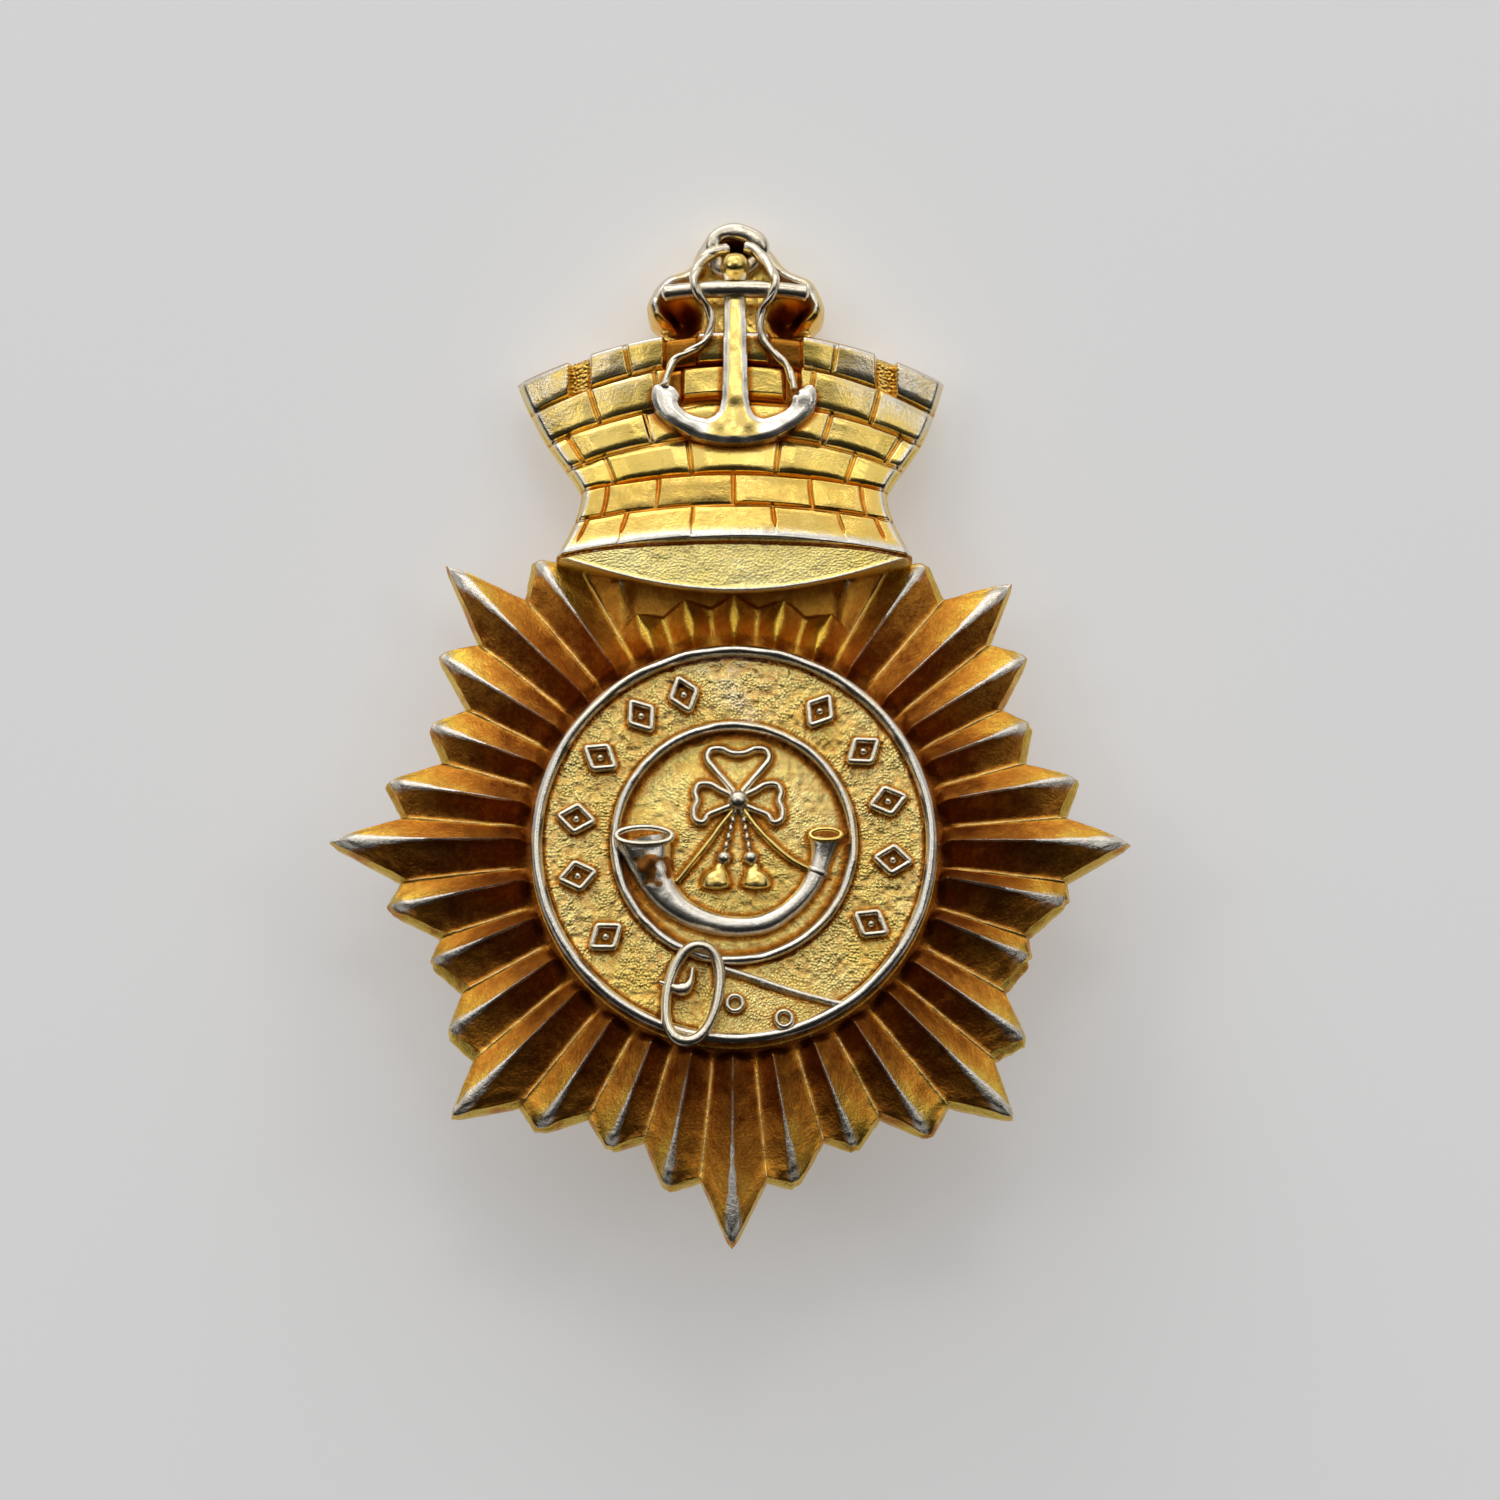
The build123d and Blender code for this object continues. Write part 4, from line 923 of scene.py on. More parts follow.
def make_underside():
    """The pebbled underside of the crown, which leans back from under the lip."""
    rows, columns = 56, 400
    v = np.linspace(0, 1, rows)[:, None]
    u = np.linspace(-1, 1, columns)[None]
    upper = 15.1 - 0.6 * u**2 + 0 * v
    lower = 12.5 + 1.94 * u**2 + 0 * v
    x = u * 8.85 + 0 * v
    z = lower + (upper - lower) * v
    height = 3.55 + 0.12 * (z - 12.5) / 2.6 - 0.9 * u**6
    edge = v * (upper - lower)
    rim = hump(edge, 0.12, 0.13)
    grain = pebbles(x, z, 0.16, 41)
    field = smooth_step(0.2, 0.4, edge)
    height = height + 0.03 * grain * field + 0.10 * rim - 0.3 * smooth_step(0.12, 0.0, edge) ** 2
    height = height + (value_noise(x, z, 0.5, 42) - 0.5) * 0.05 * field
    under_lip = smooth_step(0.20, 0.04, (upper - lower) * (1 - v))
    height = height - 0.25 * under_lip
    # Painted shade: a dark band along the upper edge, under the crown's lip
    tone = 0.12 * (1 - grain) * field + 0.75 * under_lip
    wear = 0.75 * rim * smooth_step(1.0, 0.9, np.abs(u)) + (0.14 + 0.20 * grain) * field
    points, faces = closed_sheet(np.stack((x, height, z), -1), CROWN_BACK)
    # The wall below the lower edge leans in towards the back
    points[x.size:, 2] += 0.68 * smooth_step(14.5, 12.5, points[x.size:, 2])
    return sheet_piece(
        "crown_underside_plate", (points, faces), wear, np.clip(tone, 0, 1), 0.2,
        "crown_underside", metals["pebbled"],
    )


make_underside()

# ---------------------------------------------------------------- anchor


# The outline of the lobed web, from its right shoulder round over the top to its left shoulder
WEB_OUTLINE = (
    (3.55, 23.0), (3.75, 25.0), (3.85, 26.2), (4.4, 26.9), (4.52, 27.7),
    (3.95, 28.85), (2.7, 29.5), (1.95, 30.45), (1.3, 31.3),
    (0.05, 31.72), (-1.25, 31.35), (-1.9, 30.55), (-2.35, 29.6), (-3.6, 29.0), (-4.36, 27.9), (-4.25, 26.9),
    (-3.7, 26.2), (-3.65, 25.0), (-3.5, 23.0), (-1.2, 22.7), (1.2, 22.7),
)
WEB_MIDDLE = (0.03, 27.2)
WEB_BACK = 1.12


def make_web():
    """The plate behind the anchor: raised rounded rims round two hollow lobes and an arch over the head."""
    rows, columns = 110, 620
    line = spline([(x, 0, z) for x, z in WEB_OUTLINE], columns, closed=True)
    v = np.linspace(0.02, 1, rows)[:, None]
    x = WEB_MIDDLE[0] + (line[None, :, 0] - WEB_MIDDLE[0]) * v
    z = WEB_MIDDLE[1] + (line[None, :, 2] - WEB_MIDDLE[1]) * v
    flat = np.stack((x, 0 * x, z), -1).reshape(-1, 3)
    edge = flat_distance(flat, line).reshape(x.shape)
    above = smooth_step(26.0, 26.7, z)
    rim = hump(edge, 0.46, 0.40) * above
    hollow = np.zeros(x.shape)
    for cx, cz, radius in ((-2.7, 26.95, 1.35), (2.8, 26.95, 1.35), (0.02, 30.42, 0.95)):
        hollow = np.maximum(hollow, smooth_step(radius, 0.0, np.hypot(x - cx, z - cz)))
    height = 2.85 + 0.50 * rim - 1.5 * hollow * (1 - 0.7 * rim)
    height = height - 0.75 * smooth_step(0.22, 0.0, edge) ** 2 * above
    height = height + (value_noise(x, z, 0.6, 45) - 0.5) * 0.16 + (value_noise(x, z, 0.2, 46) - 0.5) * 0.03
    height = np.minimum(height, 3.5 - 1.4 * smooth_step(25.6, 24.4, z) * smooth_step(1.4, 2.4, np.abs(x)))
    rub = value_noise(x, z, 0.9, 47)
    wear = 0.9 * smooth_step(0.35, 0.9, rim) * (0.35 + 0.65 * rub) * smooth_step(26.6, 27.6, z)
    tone = 0.15 + 0.85 * hollow * smooth_step(25.9, 27.2, z) + 0.35 * hollow + 0.35 * (rub - 0.5)
    tone = tone + 0.35 * hump(np.abs(x), 2.3, 0.7) * smooth_step(27.0, 25.6, z)
    middle = (WEB_MIDDLE[0], float(height[0].mean()), WEB_MIDDLE[1])
    sheet = round_sheet(np.stack((x, height, z), -1), middle, WEB_BACK)
    tone = np.clip(tone, 0, 1)
    return sheet_piece("anchor_web", sheet, wear, tone, 0.2, "anchor_backing", metals["bricks"])


make_web()


# The anchor's outline, from the left of the shank's top down, round both arms and back up
ANCHOR_OUTLINE = (
    (-0.48, 29.2), (-0.50, 28.0), (-0.53, 26.4), (-0.57, 24.5),
    (-0.60, 22.9), (-0.66, 22.1), (-0.86, 21.5), (-1.32, 21.24),
    (-2.02, 21.38), (-2.56, 21.68), (-2.80, 22.02), (-2.74, 22.42),
    (-3.02, 22.84), (-3.52, 23.04), (-3.98, 22.94),
    (-4.14, 22.45), (-4.02, 21.9), (-3.66, 21.36), (-2.86, 20.76),
    (-1.55, 20.12), (0.05, 19.92), (1.62, 20.14), (2.94, 20.78),
    (3.76, 21.46), (4.08, 22.02), (4.08, 22.62), (3.82, 22.98),
    (3.38, 22.80), (2.92, 22.36), (2.84, 22.0), (2.62, 21.70),
    (2.06, 21.38), (1.40, 21.24), (0.94, 21.5), (0.75, 22.1), (0.69, 22.9),
    (0.65, 24.5), (0.60, 26.4), (0.56, 28.0), (0.54, 29.2),
)


def make_anchor():
    """Shank with a rounded head, and crescent arms that end in palms: one casting with rounded edges."""
    line = spline([(x, 0, z) for x, z in ANCHOR_OUTLINE], 480, closed=True)
    plate = prism(line[:, (0, 2)], 2.9, 4.5)
    head = blob((0.03, 4.1, 29.25), (0.74, 0.72, 0.68), 16, 30)
    points, faces = fused(*joined(plate, head), 0.05, 5)
    edge = flat_distance(points, line)
    # The face swells towards its middle, and dips along the shank
    top = smooth_step(4.1, 4.45, points[:, 1]) * smooth_step(29.0, 28.4, points[:, 2])
    dip = 0.30 * smooth_step(23.0, 28.0, points[:, 2])
    points[:, 1] -= top * (0.13 * smooth_step(0.40, 0.0, edge) ** 1.5 + dip)
    points[:, 1] += top * 0.12 * (value_noise(points[:, 0], points[:, 2], 0.7, 48) - 0.5)
    patch = value_noise(points[:, 0], points[:, 2], 0.8, 49)
    arms = smooth_step(22.6, 21.6, points[:, 2] - 0.25 * np.abs(points[:, 0]))
    wear = smooth_step(0.42, 0.10, edge) * (0.75 + 0.4 * patch) * top
    wear = np.maximum(wear, arms * smooth_step(0.5, 2.2, np.abs(points[:, 0])) * (0.55 + 0.5 * patch))
    wear = np.maximum(wear, 0.16 * smooth_step(0.45, 0.8, patch))
    tone = 0.75 * smooth_step(4.0, 3.4, points[:, 1])
    obj = new_object("anchor_shank_and_arms", points, faces, {"wear": wear * (1 - tone), "tone": tone})
    return finish_piece(obj, ["anchor"], metals["worn"], wear_scale=0)


anchor = make_anchor()


def make_stock():
    bar = ((-3.6, 3.95, 27.85), (-2.0, 4.2, 27.95), (0.05, 4.3, 27.98), (2.1, 4.2, 27.95), (3.7, 3.95, 27.85))
    line = spline(bar, 90)
    t = np.abs(np.linspace(-1, 1, 90))
    knobs = 0.06 * smooth_step(0.8, 0.93, t) - 0.20 * smooth_step(0.95, 1.0, t)
    width = 0.40 + 0.05 * np.exp(-((t / 0.45) ** 4)) + knobs
    obj = new_object("anchor_cross_stock", *tube(line, width, width * 1.1, 26))
    return finish_piece(obj, ["anchor_stock"], metals["silver"], 0.03, 0.1)


make_stock()


def make_arch():
    """The ring at the head, thick and uneven as cast."""
    path = []
    for a in full_turn(90):
        lean = 0.10 * math.sin(3 * a + 1)
        x, z = 0.03 + (1.16 + lean) * math.cos(a), 30.22 + (1.00 + 0.6 * lean) * math.sin(a)
        path.append((x, 3.36 + 0.36 * math.sin(a), z))
    a = full_turn(90)
    width = 0.44 + 0.06 * np.sin(2 * a + 0.5) + 0.03 * np.sin(5 * a)
    obj = new_object("anchor_head_ring", *tube(path, width, width, 22, closed=True, power=2.5))
    return finish_piece(obj, ["anchor_ring"], metals["silver"], 0.04, 0.1)


make_arch()


def make_rope(side, turns):
    """A rope of two twisted strands, from the ring over the stock and down to the arms."""
    path = spline(turns, 170)
    t = np.linspace(0, 1, 170)
    along = np.gradient(path, axis=0)
    along /= np.linalg.norm(along, axis=1)[:, None]
    across = np.cross(along, (0.0, 1.0, 0.0))
    length = np.concatenate(((0,), np.cumsum(np.linalg.norm(np.diff(path, axis=0), axis=1))))
    parts = []
    for phase in (0.0, math.pi):
        turn = 2 * math.pi * length / 2.4 + phase
        strand = path + across * (0.045 * np.cos(turn))[:, None]
        strand[:, 1] += 0.045 * np.sin(turn)
        parts.append(tube(strand, 0.29 - 0.11 * smooth_step(0.15, 0.5, t), 0.34 - 0.04 * t, 18))
    obj = new_object(f"anchor_rope_{side}", *joined(*parts))
    return finish_piece(obj, [f"anchor_cable_{side}"], metals["silver"], 0.03, 0.1)


ropes = [
    make_rope("left", [
        (-0.40, 3.75, 30.25), (-0.95, 3.95, 30.05), (-1.50, 4.1, 29.65),
        (-1.85, 4.4, 29.0), (-2.02, 4.75, 28.24), (-1.78, 4.65, 27.54),
        (-1.32, 4.3, 27.0), (-1.14, 4.15, 26.35), (-1.26, 4.1, 25.7),
        (-1.66, 4.05, 25.12), (-2.42, 4.1, 24.66), (-3.08, 4.2, 24.16),
        (-3.46, 4.35, 22.95),
    ]),
    make_rope("right", [
        (0.62, 3.75, 30.35), (1.05, 3.9, 30.1), (1.45, 4.1, 29.6),
        (1.86, 4.4, 28.8), (2.05, 4.75, 28.14), (1.80, 4.65, 27.44),
        (1.38, 4.3, 26.84), (1.26, 4.15, 26.05), (1.50, 4.05, 25.28),
        (2.10, 4.1, 24.58), (2.68, 4.2, 23.88), (3.0, 4.35, 22.7),
    ]),
]

make_crown([anchor, *ropes])

# ---------------------------------------------------------------- garter


def make_rim(name, node, outer, inner, seed, share):
    """A ring with a rounded top, a little uneven. The round takes a share of the width."""
    sides, columns = 18, 900
    angle = full_turn(columns)[None]
    spot_x, spot_z = np.cos(angle) * 9, np.sin(angle) * 9
    middle, half = (outer + inner) / 2, (outer - inner) / 2
    turn = np.linspace(math.pi, 0, sides)[:, None]
    wobble = (value_noise(spot_x, spot_z, 1.1, seed) - 0.5) * 0.10
    radius = middle + half * (share * np.cos(turn) + (1 - share) * np.cos(turn) ** 7) + wobble * np.sin(turn)
    uneven = (value_noise(spot_x, spot_z, 2.5, seed + 1) - 0.5) * 0.05
    height = RIM_HEIGHT - half + half * np.sin(turn) + uneven
    front = np.stack((radius * np.cos(angle), height + 0 * angle, radius * np.sin(angle)), -1)
    low_in, low_out = front[:1].copy(), front[-1:].copy()
    low_in[..., 1] = STRAP_HEIGHT - 0.2
    low_out[..., 1] = DECK_HEIGHT + 0.3
    sheet = ring_sheet(np.concatenate((low_in, front, low_out)), DECK_HEIGHT)
    crown_line = np.concatenate((np.zeros((1, 1)), np.sin(turn), np.zeros((1, 1)))) * np.ones((1, columns))
    patch = value_noise(spot_x, spot_z, 2.2, seed + 2)
    wear = smooth_step(0.25, 0.75, crown_line) * smooth_step(0.15, 0.45, patch)
    tone = 0.9 * (1 - smooth_step(0.0, 0.45, crown_line))
    return sheet_piece(name, sheet, wear, tone, 0, node, metals["silver"])


make_rim("garter_rim", "garter_outer_rim", RIM_OUTER, STRAP_OUTER, 51, 0.80)
make_rim("garter_eye_rim", "garter_inner_rim", EYE_OUTER, DISC_RADIUS, 53, 0.85)

BUCKLE = (-2.0, -7.6)
BUCKLE_LEAN = math.radians(-11)


def buckle_point(across, along):
    """A point of the buckle from its own axes, as (x, z)."""
    c, s = math.cos(BUCKLE_LEAN), math.sin(BUCKLE_LEAN)
    return BUCKLE[0] + across * c - along * s, BUCKLE[1] + across * s + along * c


def make_buckle():
    path = []
    for k in range(120):
        a = 2 * math.pi * k / 120
        ca, sa = math.cos(a), math.sin(a)
        across = 1.24 * math.copysign(abs(ca) ** 0.92, ca)
        along = 2.38 * math.copysign(abs(sa) ** 0.92, sa)
        x, z = buckle_point(across, along)
        path.append((x, 3.16 + 0.12 * abs(sa) ** 4, z))
    a = full_turn(120)
    points, faces = tube(path, 0.275 + 0.02 * np.sin(3 * a), 0.36, 24, closed=True)
    obj = new_object("buckle", points, faces)
    return finish_piece(obj, ["garter_buckle"], metals["silver"], 0.12, 0.12)


def make_tongue():
    path = spline([
        (-3.55, 3.0, -7.05), (-3.15, 3.1, -7.2), (-2.72, 3.15, -7.38),
        (-2.32, 3.15, -7.3), (-2.1, 3.1, -6.95), (-2.02, 3.0, -6.4),
    ], 60)
    width = 0.14 + 0.20 * np.exp(-(((np.linspace(0, 1, 60) - 0.5) / 0.22) ** 2))
    points, faces = tube(path, width, 0.34, 20)
    obj = new_object("buckle_pin", points, faces)
    return finish_piece(obj, ["buckle_tongue"], metals["silver"], 0.12, 0.12)


buckle = make_buckle()
tongue = make_tongue()

EYELETS = ((0.05, -8.05), (2.45, -8.82))


def make_eyelets():
    parts = []
    for x, z in EYELETS:
        path = [
            (x + 0.38 * math.cos(a), 3.0, z + 0.38 * math.sin(a))
            for a in full_turn(48)
        ]
        parts.append(tube(path, 0.13, 0.2, 16, closed=True))
    obj = new_object("eyelets", *joined(*parts))
    return finish_piece(obj, ["strap_eyelets"], metals["silver"], 0.05, 0.12)


make_eyelets()

STRAP_EDGE = [(-0.62, -6.15), (0.9, -6.62), (2.75, -7.25), (4.4, -7.72), (5.35, -7.95)]


def make_strap_end():
    """The strap's free end: a pebbled tongue of strap with a raised edge along its upper side."""
    columns, rows = 220, 60
    edge = spline([(x, 0, z) for x, z in STRAP_EDGE], columns)
    x_top, z_top = edge[:, 0], edge[:, 2]
    inner = STRAP_OUTER
    x_low = np.linspace(-1.75, 5.35, columns)
    z_low = -np.sqrt(inner**2 - np.clip(x_low, -9, 9) ** 2)
    z_low = np.minimum(z_low, z_top - 0.02)
    v = np.linspace(0, 1, rows)[:, None]
    x = x_low[None] * (1 - v) + x_top[None] * v
    z = z_low[None] * (1 - v) + z_top[None] * v
    span = np.hypot(x_top - x_low, z_top - z_low)[None]
    from_edge = (1 - v) * span
    grain = pebbles(x, z, 0.16, 61)
    bead = hump(from_edge, 0.19, 0.15)
    field = smooth_step(0.35, 0.5, from_edge)
    height = 2.68 + 0.035 * grain * field + 0.30 * bead - 0.2 * smooth_step(0.08, 0.0, from_edge)
    height = height + (value_noise(x, z, 0.5, 62) - 0.5) * 0.06 * field
    tone = 0.08 + 0.25 * (1 - grain) * field + 0.5 * hump(from_edge, 0.42, 0.09)
    for ex, ez in EYELETS:
        away = np.hypot(x - ex, z - ez)
        height = height - 0.14 * smooth_step(0.36, 0.2, away)
        tone = tone + 0.6 * smooth_step(0.72, 0.5, away) * smooth_step(0.18, 0.3, away)
    wear = 0.9 * bead
    sheet = closed_sheet(np.stack((x, height, z), -1), STRAP_HEIGHT - 0.3)
    pad = np.zeros(len(sheet[0]) - x.size)
    line = spline([(a, 2.80, b - 0.14) for a, b in STRAP_EDGE], 90)
    line[:, 1] += (value_noise(line[:, 0], line[:, 2], 0.7, 63) - 0.5) * 0.06
    piping = tube(line, 0.17, 0.22, 18)
    worn = np.full(len(piping[0]), 0.75)
    obj = new_object(
        "strap_tail", *joined(sheet, piping),
        {
            "wear": np.concatenate((wear.ravel(), pad, worn)),
            "tone": np.concatenate((np.clip(tone, 0, 1).ravel(), pad, 0 * worn)),
        },
    )
    return finish_piece(obj, ["strap_end"], metals["pebbled"], wear_scale=0)


make_strap_end()

ORNAMENT_ANGLES = (216.9, 192.4, 171.4, 147.2, 125.8, 108.5, 57.3, 35.7, 15.2, -6.5, -31.2)


def make_ornaments():
    """Small open lozenges with a pellet, spaced round the strap."""
    parts = []
    for degrees in ORNAMENT_ANGLES:
        a = math.radians(degrees)
        out, round_ = np.array((math.cos(a), math.sin(a))), np.array((-math.sin(a), math.cos(a)))
        middle = 7.85 * out
        corners = [(0.88, 0), (0, 0.68), (-0.88, 0), (0, -0.68)]
        path = []
        for k in range(4):
            start, end = np.array(corners[k]), np.array(corners[(k + 1) % 4])
            for t in np.linspace(0.06, 0.94, 8):
                p = start + (end - start) * t
                place = middle + out * p[0] + round_ * p[1]
                path.append((place[0], 2.76, place[1]))
        parts.append(tube(path, 0.165, 0.3, 16, closed=True, power=2.4))
        parts.append(blob((middle[0], 2.70, middle[1]), (0.21, 0.28, 0.21), 8, 16))
    obj = new_object("garter_lozenges", *joined(*parts))
    return finish_piece(obj, ["garter_ornaments"], metals["silver"], 0.1, 0.1)


ornaments = make_ornaments()


def make_strap():
    rows, columns = 70, 1180
    r = np.linspace(EYE_OUTER, STRAP_OUTER, rows)[:, None]
    a = full_turn(columns)[None]
    x, z = r * np.cos(a), r * np.sin(a)
    grain = pebbles(x, z, 0.17, 71) * smooth_step(0.25, 0.6, value_noise(x, z, 0.4, 72))
    height = STRAP_HEIGHT - 0.05 + 0.065 * grain + (value_noise(x, z, 0.26, 73) - 0.5) * 0.09
    height = height + (value_noise(x, z, 0.9, 75) - 0.5) * 0.08
    flat = np.stack((x, height, z), -1).reshape(-1, 3)
    close = nearness(flat, [ornaments, buckle, tongue], STRAP_HEIGHT + 0.02, 0.24).reshape(x.shape)
    edge = np.minimum(r - EYE_OUTER, STRAP_OUTER - r) + 0 * a
    tone = 0.04 + 0.24 * (1 - grain) + 0.8 * smooth_step(0.26, 0.0, edge) + 0.68 * close
    wear = 0.12 * grain * value_noise(x, z, 1.2, 74)
    # Painted sheen: the top is paled towards silver where the highlight lies; a little paler also at the
    # lower left
    for at, spread, share in ((90, 21, 0.42), (232, 20, 0.22), (-50, 16, 0.12)):
        apart = (np.degrees(a) - at + 180) % 360 - 180
        wear = wear + share * np.exp(-((apart / spread) ** 2)) * (0.45 + 0.75 * value_noise(x, z, 0.8, 76))
    height = height - 0.06 * smooth_step(0.25, 0.0, edge)
    sheet = ring_sheet(np.stack((x, height, z), -1), DECK_HEIGHT)
    tone = np.clip(tone, 0, 1)
    return sheet_piece(
        "garter_field", sheet, wear, tone, 0, "garter_strap", metals["pebbled"]
    )


make_strap()

# ---------------------------------------------------------------- bugle, bow and tassels


def disc_height(x, z):
    """The height of the domed disc."""
    rise = DISC_HEIGHT - 2.2
    big = (DISC_RADIUS**2 + rise**2) / (2 * rise)
    return DISC_HEIGHT - big + np.sqrt(np.maximum(big**2 - x**2 - z**2, 0))


def raised_line(points, half_width, rise, half_height, count=60, closed=False, sides=16):
    """A wire on the disc through (x, z) points."""
    path = spline([(x, 0, z) for x, z in points], count, closed)
    path[:, 1] = disc_height(path[:, 0], path[:, 2]) + rise
    return tube(path, half_width, half_height, sides, closed)


def make_horn():
    # x, z and radius from the bell round to the mouthpiece
    stations = (
        (-4.42, 0.05, 1.42), (-4.3, -0.45, 1.25), (-4.1, -1.2, 1.06), (-3.75, -2.0, 0.88), (-3.2, -2.8, 0.74),
        (-2.3, -3.5, 0.62), (-1.1, -4.0, 0.54), (0.2, -4.17, 0.50), (1.5, -4.0, 0.48), (2.6, -3.4, 0.47),
        (3.5, -2.5, 0.47), (4.05, -1.5, 0.48), (4.3, -0.7, 0.52), (4.45, 0.15, 0.80),
    )
    path = spline([(x, 0, z) for x, z, _ in stations], 160)
    size = spline([(r, 0, 0) for _, _, r in stations], 160)[:, 0]
    path[:, 1] = disc_height(path[:, 0], path[:, 2]) + 0.12 + 0.05 * size
    bulge = (value_noise(path[:, 0], path[:, 2], 0.9, 81) - 0.5) * 0.06
    horn = tube(path, size + bulge, size * 0.72 + 0.12, 40)
    # The collar below the mouthpiece
    at = spline([(4.02, 0, -1.62), (4.16, 0, -1.28)], 12)
    at[:, 1] = disc_height(at[:, 0], at[:, 2]) + 0.14
    ends = np.linspace(-1, 1, len(at)) ** 2
    collar = tube(at, 0.60 - 0.10 * ends, 0.54 - 0.08 * ends, 28)
    # The side of the bell is dented, and darker in a patch
    points, faces = joined(horn, collar)
    points = np.array(points)
    x, z = points[:, 0], points[:, 2]
    bell = np.exp(-((x + 4.0) ** 2 + (z + 1.4) ** 2) / 1.7)
    points[:, 1] += 0.20 * bell * (value_noise(x, z, 0.5, 82) - 0.5)
    dark_patch = smooth_step(0.50, 0.66, bell * (0.35 + 0.9 * value_noise(x, z, 0.45, 83)))
    obj = new_object("horn", points, faces, {"wear": 0.62 * (1 - 0.8 * dark_patch), "tone": 0.9 * dark_patch})
    return finish_piece(obj, ["bugle_horn"], metals["horn"], 0.03, 0.1)


def mouth_wire(name, node, centre, radii, thick, height, material):
    """An oval wire round a mouth of the horn, which is seen nearly edge on."""
    path = []
    for a in full_turn(96):
        x, z = centre[0] + radii[0] * math.cos(a), centre[1] + radii[1] * math.sin(a)
        path.append((x, height - 0.1 * math.sin(a) - 0.12 * math.cos(a) ** 2, z))
    obj = new_object(name, *tube(path, thick, thick * 1.2, 18, closed=True))
    return finish_piece(obj, [node], material, 0.1, 0.1)


horn = make_horn()
bell = mouth_wire(
    "horn_bell", "bugle_bell_rim", (-4.4, 0.16), (1.36, 0.44), 0.16, 3.62, metals["silver"]
)
mouth = mouth_wire(
    "horn_mouthpiece", "bugle_mouthpiece", (4.5, 0.30), (0.76, 0.30), 0.13, 3.2, metals["worn"]
)

BOW = (0.2, 2.05)
UPPER_LOOP = [
    (0.16, 0.4), (0.68, 1.05), (1.15, 1.62), (1.52, 2.15),
    (1.38, 2.6), (0.85, 2.68), (0.4, 2.48), (0.0, 2.42),
]
SIDE_LOOP = [
    (0.35, 0.3), (0.85, 0.55), (1.35, 0.84), (1.9, 0.84), (2.12, 0.45), (2.02, 0.0),
    (2.18, -0.45), (2.1, -0.95), (1.7, -1.08), (1.45, -0.72), (0.9, -0.48), (0.35, -0.25),
]


def make_bow():
    upper = UPPER_LOOP + [(-x, z) for x, z in reversed(UPPER_LOOP[:-1])]
    parts = [raised_line([(BOW[0] + x, BOW[1] + z) for x, z in upper], 0.20, 0.18, 0.36, 110)]
    for side in (-1, 1):
        line = [(BOW[0] + side * x, BOW[1] + z) for x, z in SIDE_LOOP]
        parts.append(raised_line(line, 0.19, 0.18, 0.34, 110))
    obj = new_object("bow", *joined(*parts))
    return finish_piece(obj, ["bow_loops"], metals["silver"], 0.06, 0.1)


bow = make_bow()
knot = new_object("bow_bead", *blob((BOW[0], 3.0, BOW[1]), (0.54, 0.58, 0.54), 18, 36))
finish_piece(knot, ["bow_knot"], metals["silver"], 0.02, 0.1)

slings = new_object(
    "horn_cords",
    *joined(
        raised_line(
            ((-0.05, 1.6), (-0.7, 0.75), (-1.3, -0.1), (-2.1, -1.1), (-2.8, -1.95)), 0.16, 0.08, 0.26
        ),
        raised_line(((0.5, 1.6), (1.1, 0.75), (1.9, -0.1), (2.8, -0.85), (3.85, -1.4)), 0.17, 0.08, 0.27),
    ),
)
finish_piece(slings, ["bugle_cords"], metals["worn"], 0.03, 0.1)


def make_tassel_cords():
    """Two cords of small beads, from the knot to the balls."""
    parts = []
    for start, end in (((0.05, 1.55), (-0.48, -0.6)), ((0.4, 1.55), (0.8, -0.6))):
        for t in np.linspace(0, 1, 6):
            x = start[0] + (end[0] - start[0]) * t
            z = start[1] + (end[1] - start[1]) * t
            parts.append(blob((x, disc_height(x, z) + 0.08, z), (0.14, 0.2, 0.25), 8, 14))
    obj = new_object("tassel_strings", *joined(*parts))
    return finish_piece(obj, ["tassel_cords"], metals["silver"], 0.04, 0.1)


tassel_strings = make_tassel_cords()
balls = new_object(
    "tassel_beads",
    *joined(blob((-0.5, 2.86, -0.8), (0.36, 0.40, 0.36)), blob((0.82, 2.86, -0.8), (0.36, 0.40, 0.36))),
)
finish_piece(balls, ["tassel_balls"], metals["silver"], 0.02, 0.1)


def make_tassels():
    """Two bell-shaped tassels."""
    parts = []
    for x in (-0.74, 0.98):
        lean = -0.12 if x < 0 else 0.08
        hang = ((x + 0.06, 2.72, -1.12), (x, 2.74, -1.5), (x + lean, 2.76, -1.95), (x + lean, 2.7, -2.22))
        path = spline(hang, 30)
        t = np.linspace(0, 1, 30)
        width = 0.24 + 0.50 * smooth_step(0.0, 0.75, t) - 0.08 * smooth_step(0.85, 1, t)
        parts.append(tube(path, width, 0.1 + width * 0.6, 30))
    obj = new_object("tassel_bells", *joined(*parts))
    return finish_piece(obj, ["tassels"], metals["worn"], 0.03, 0.1)


tassel_bells = make_tassels()


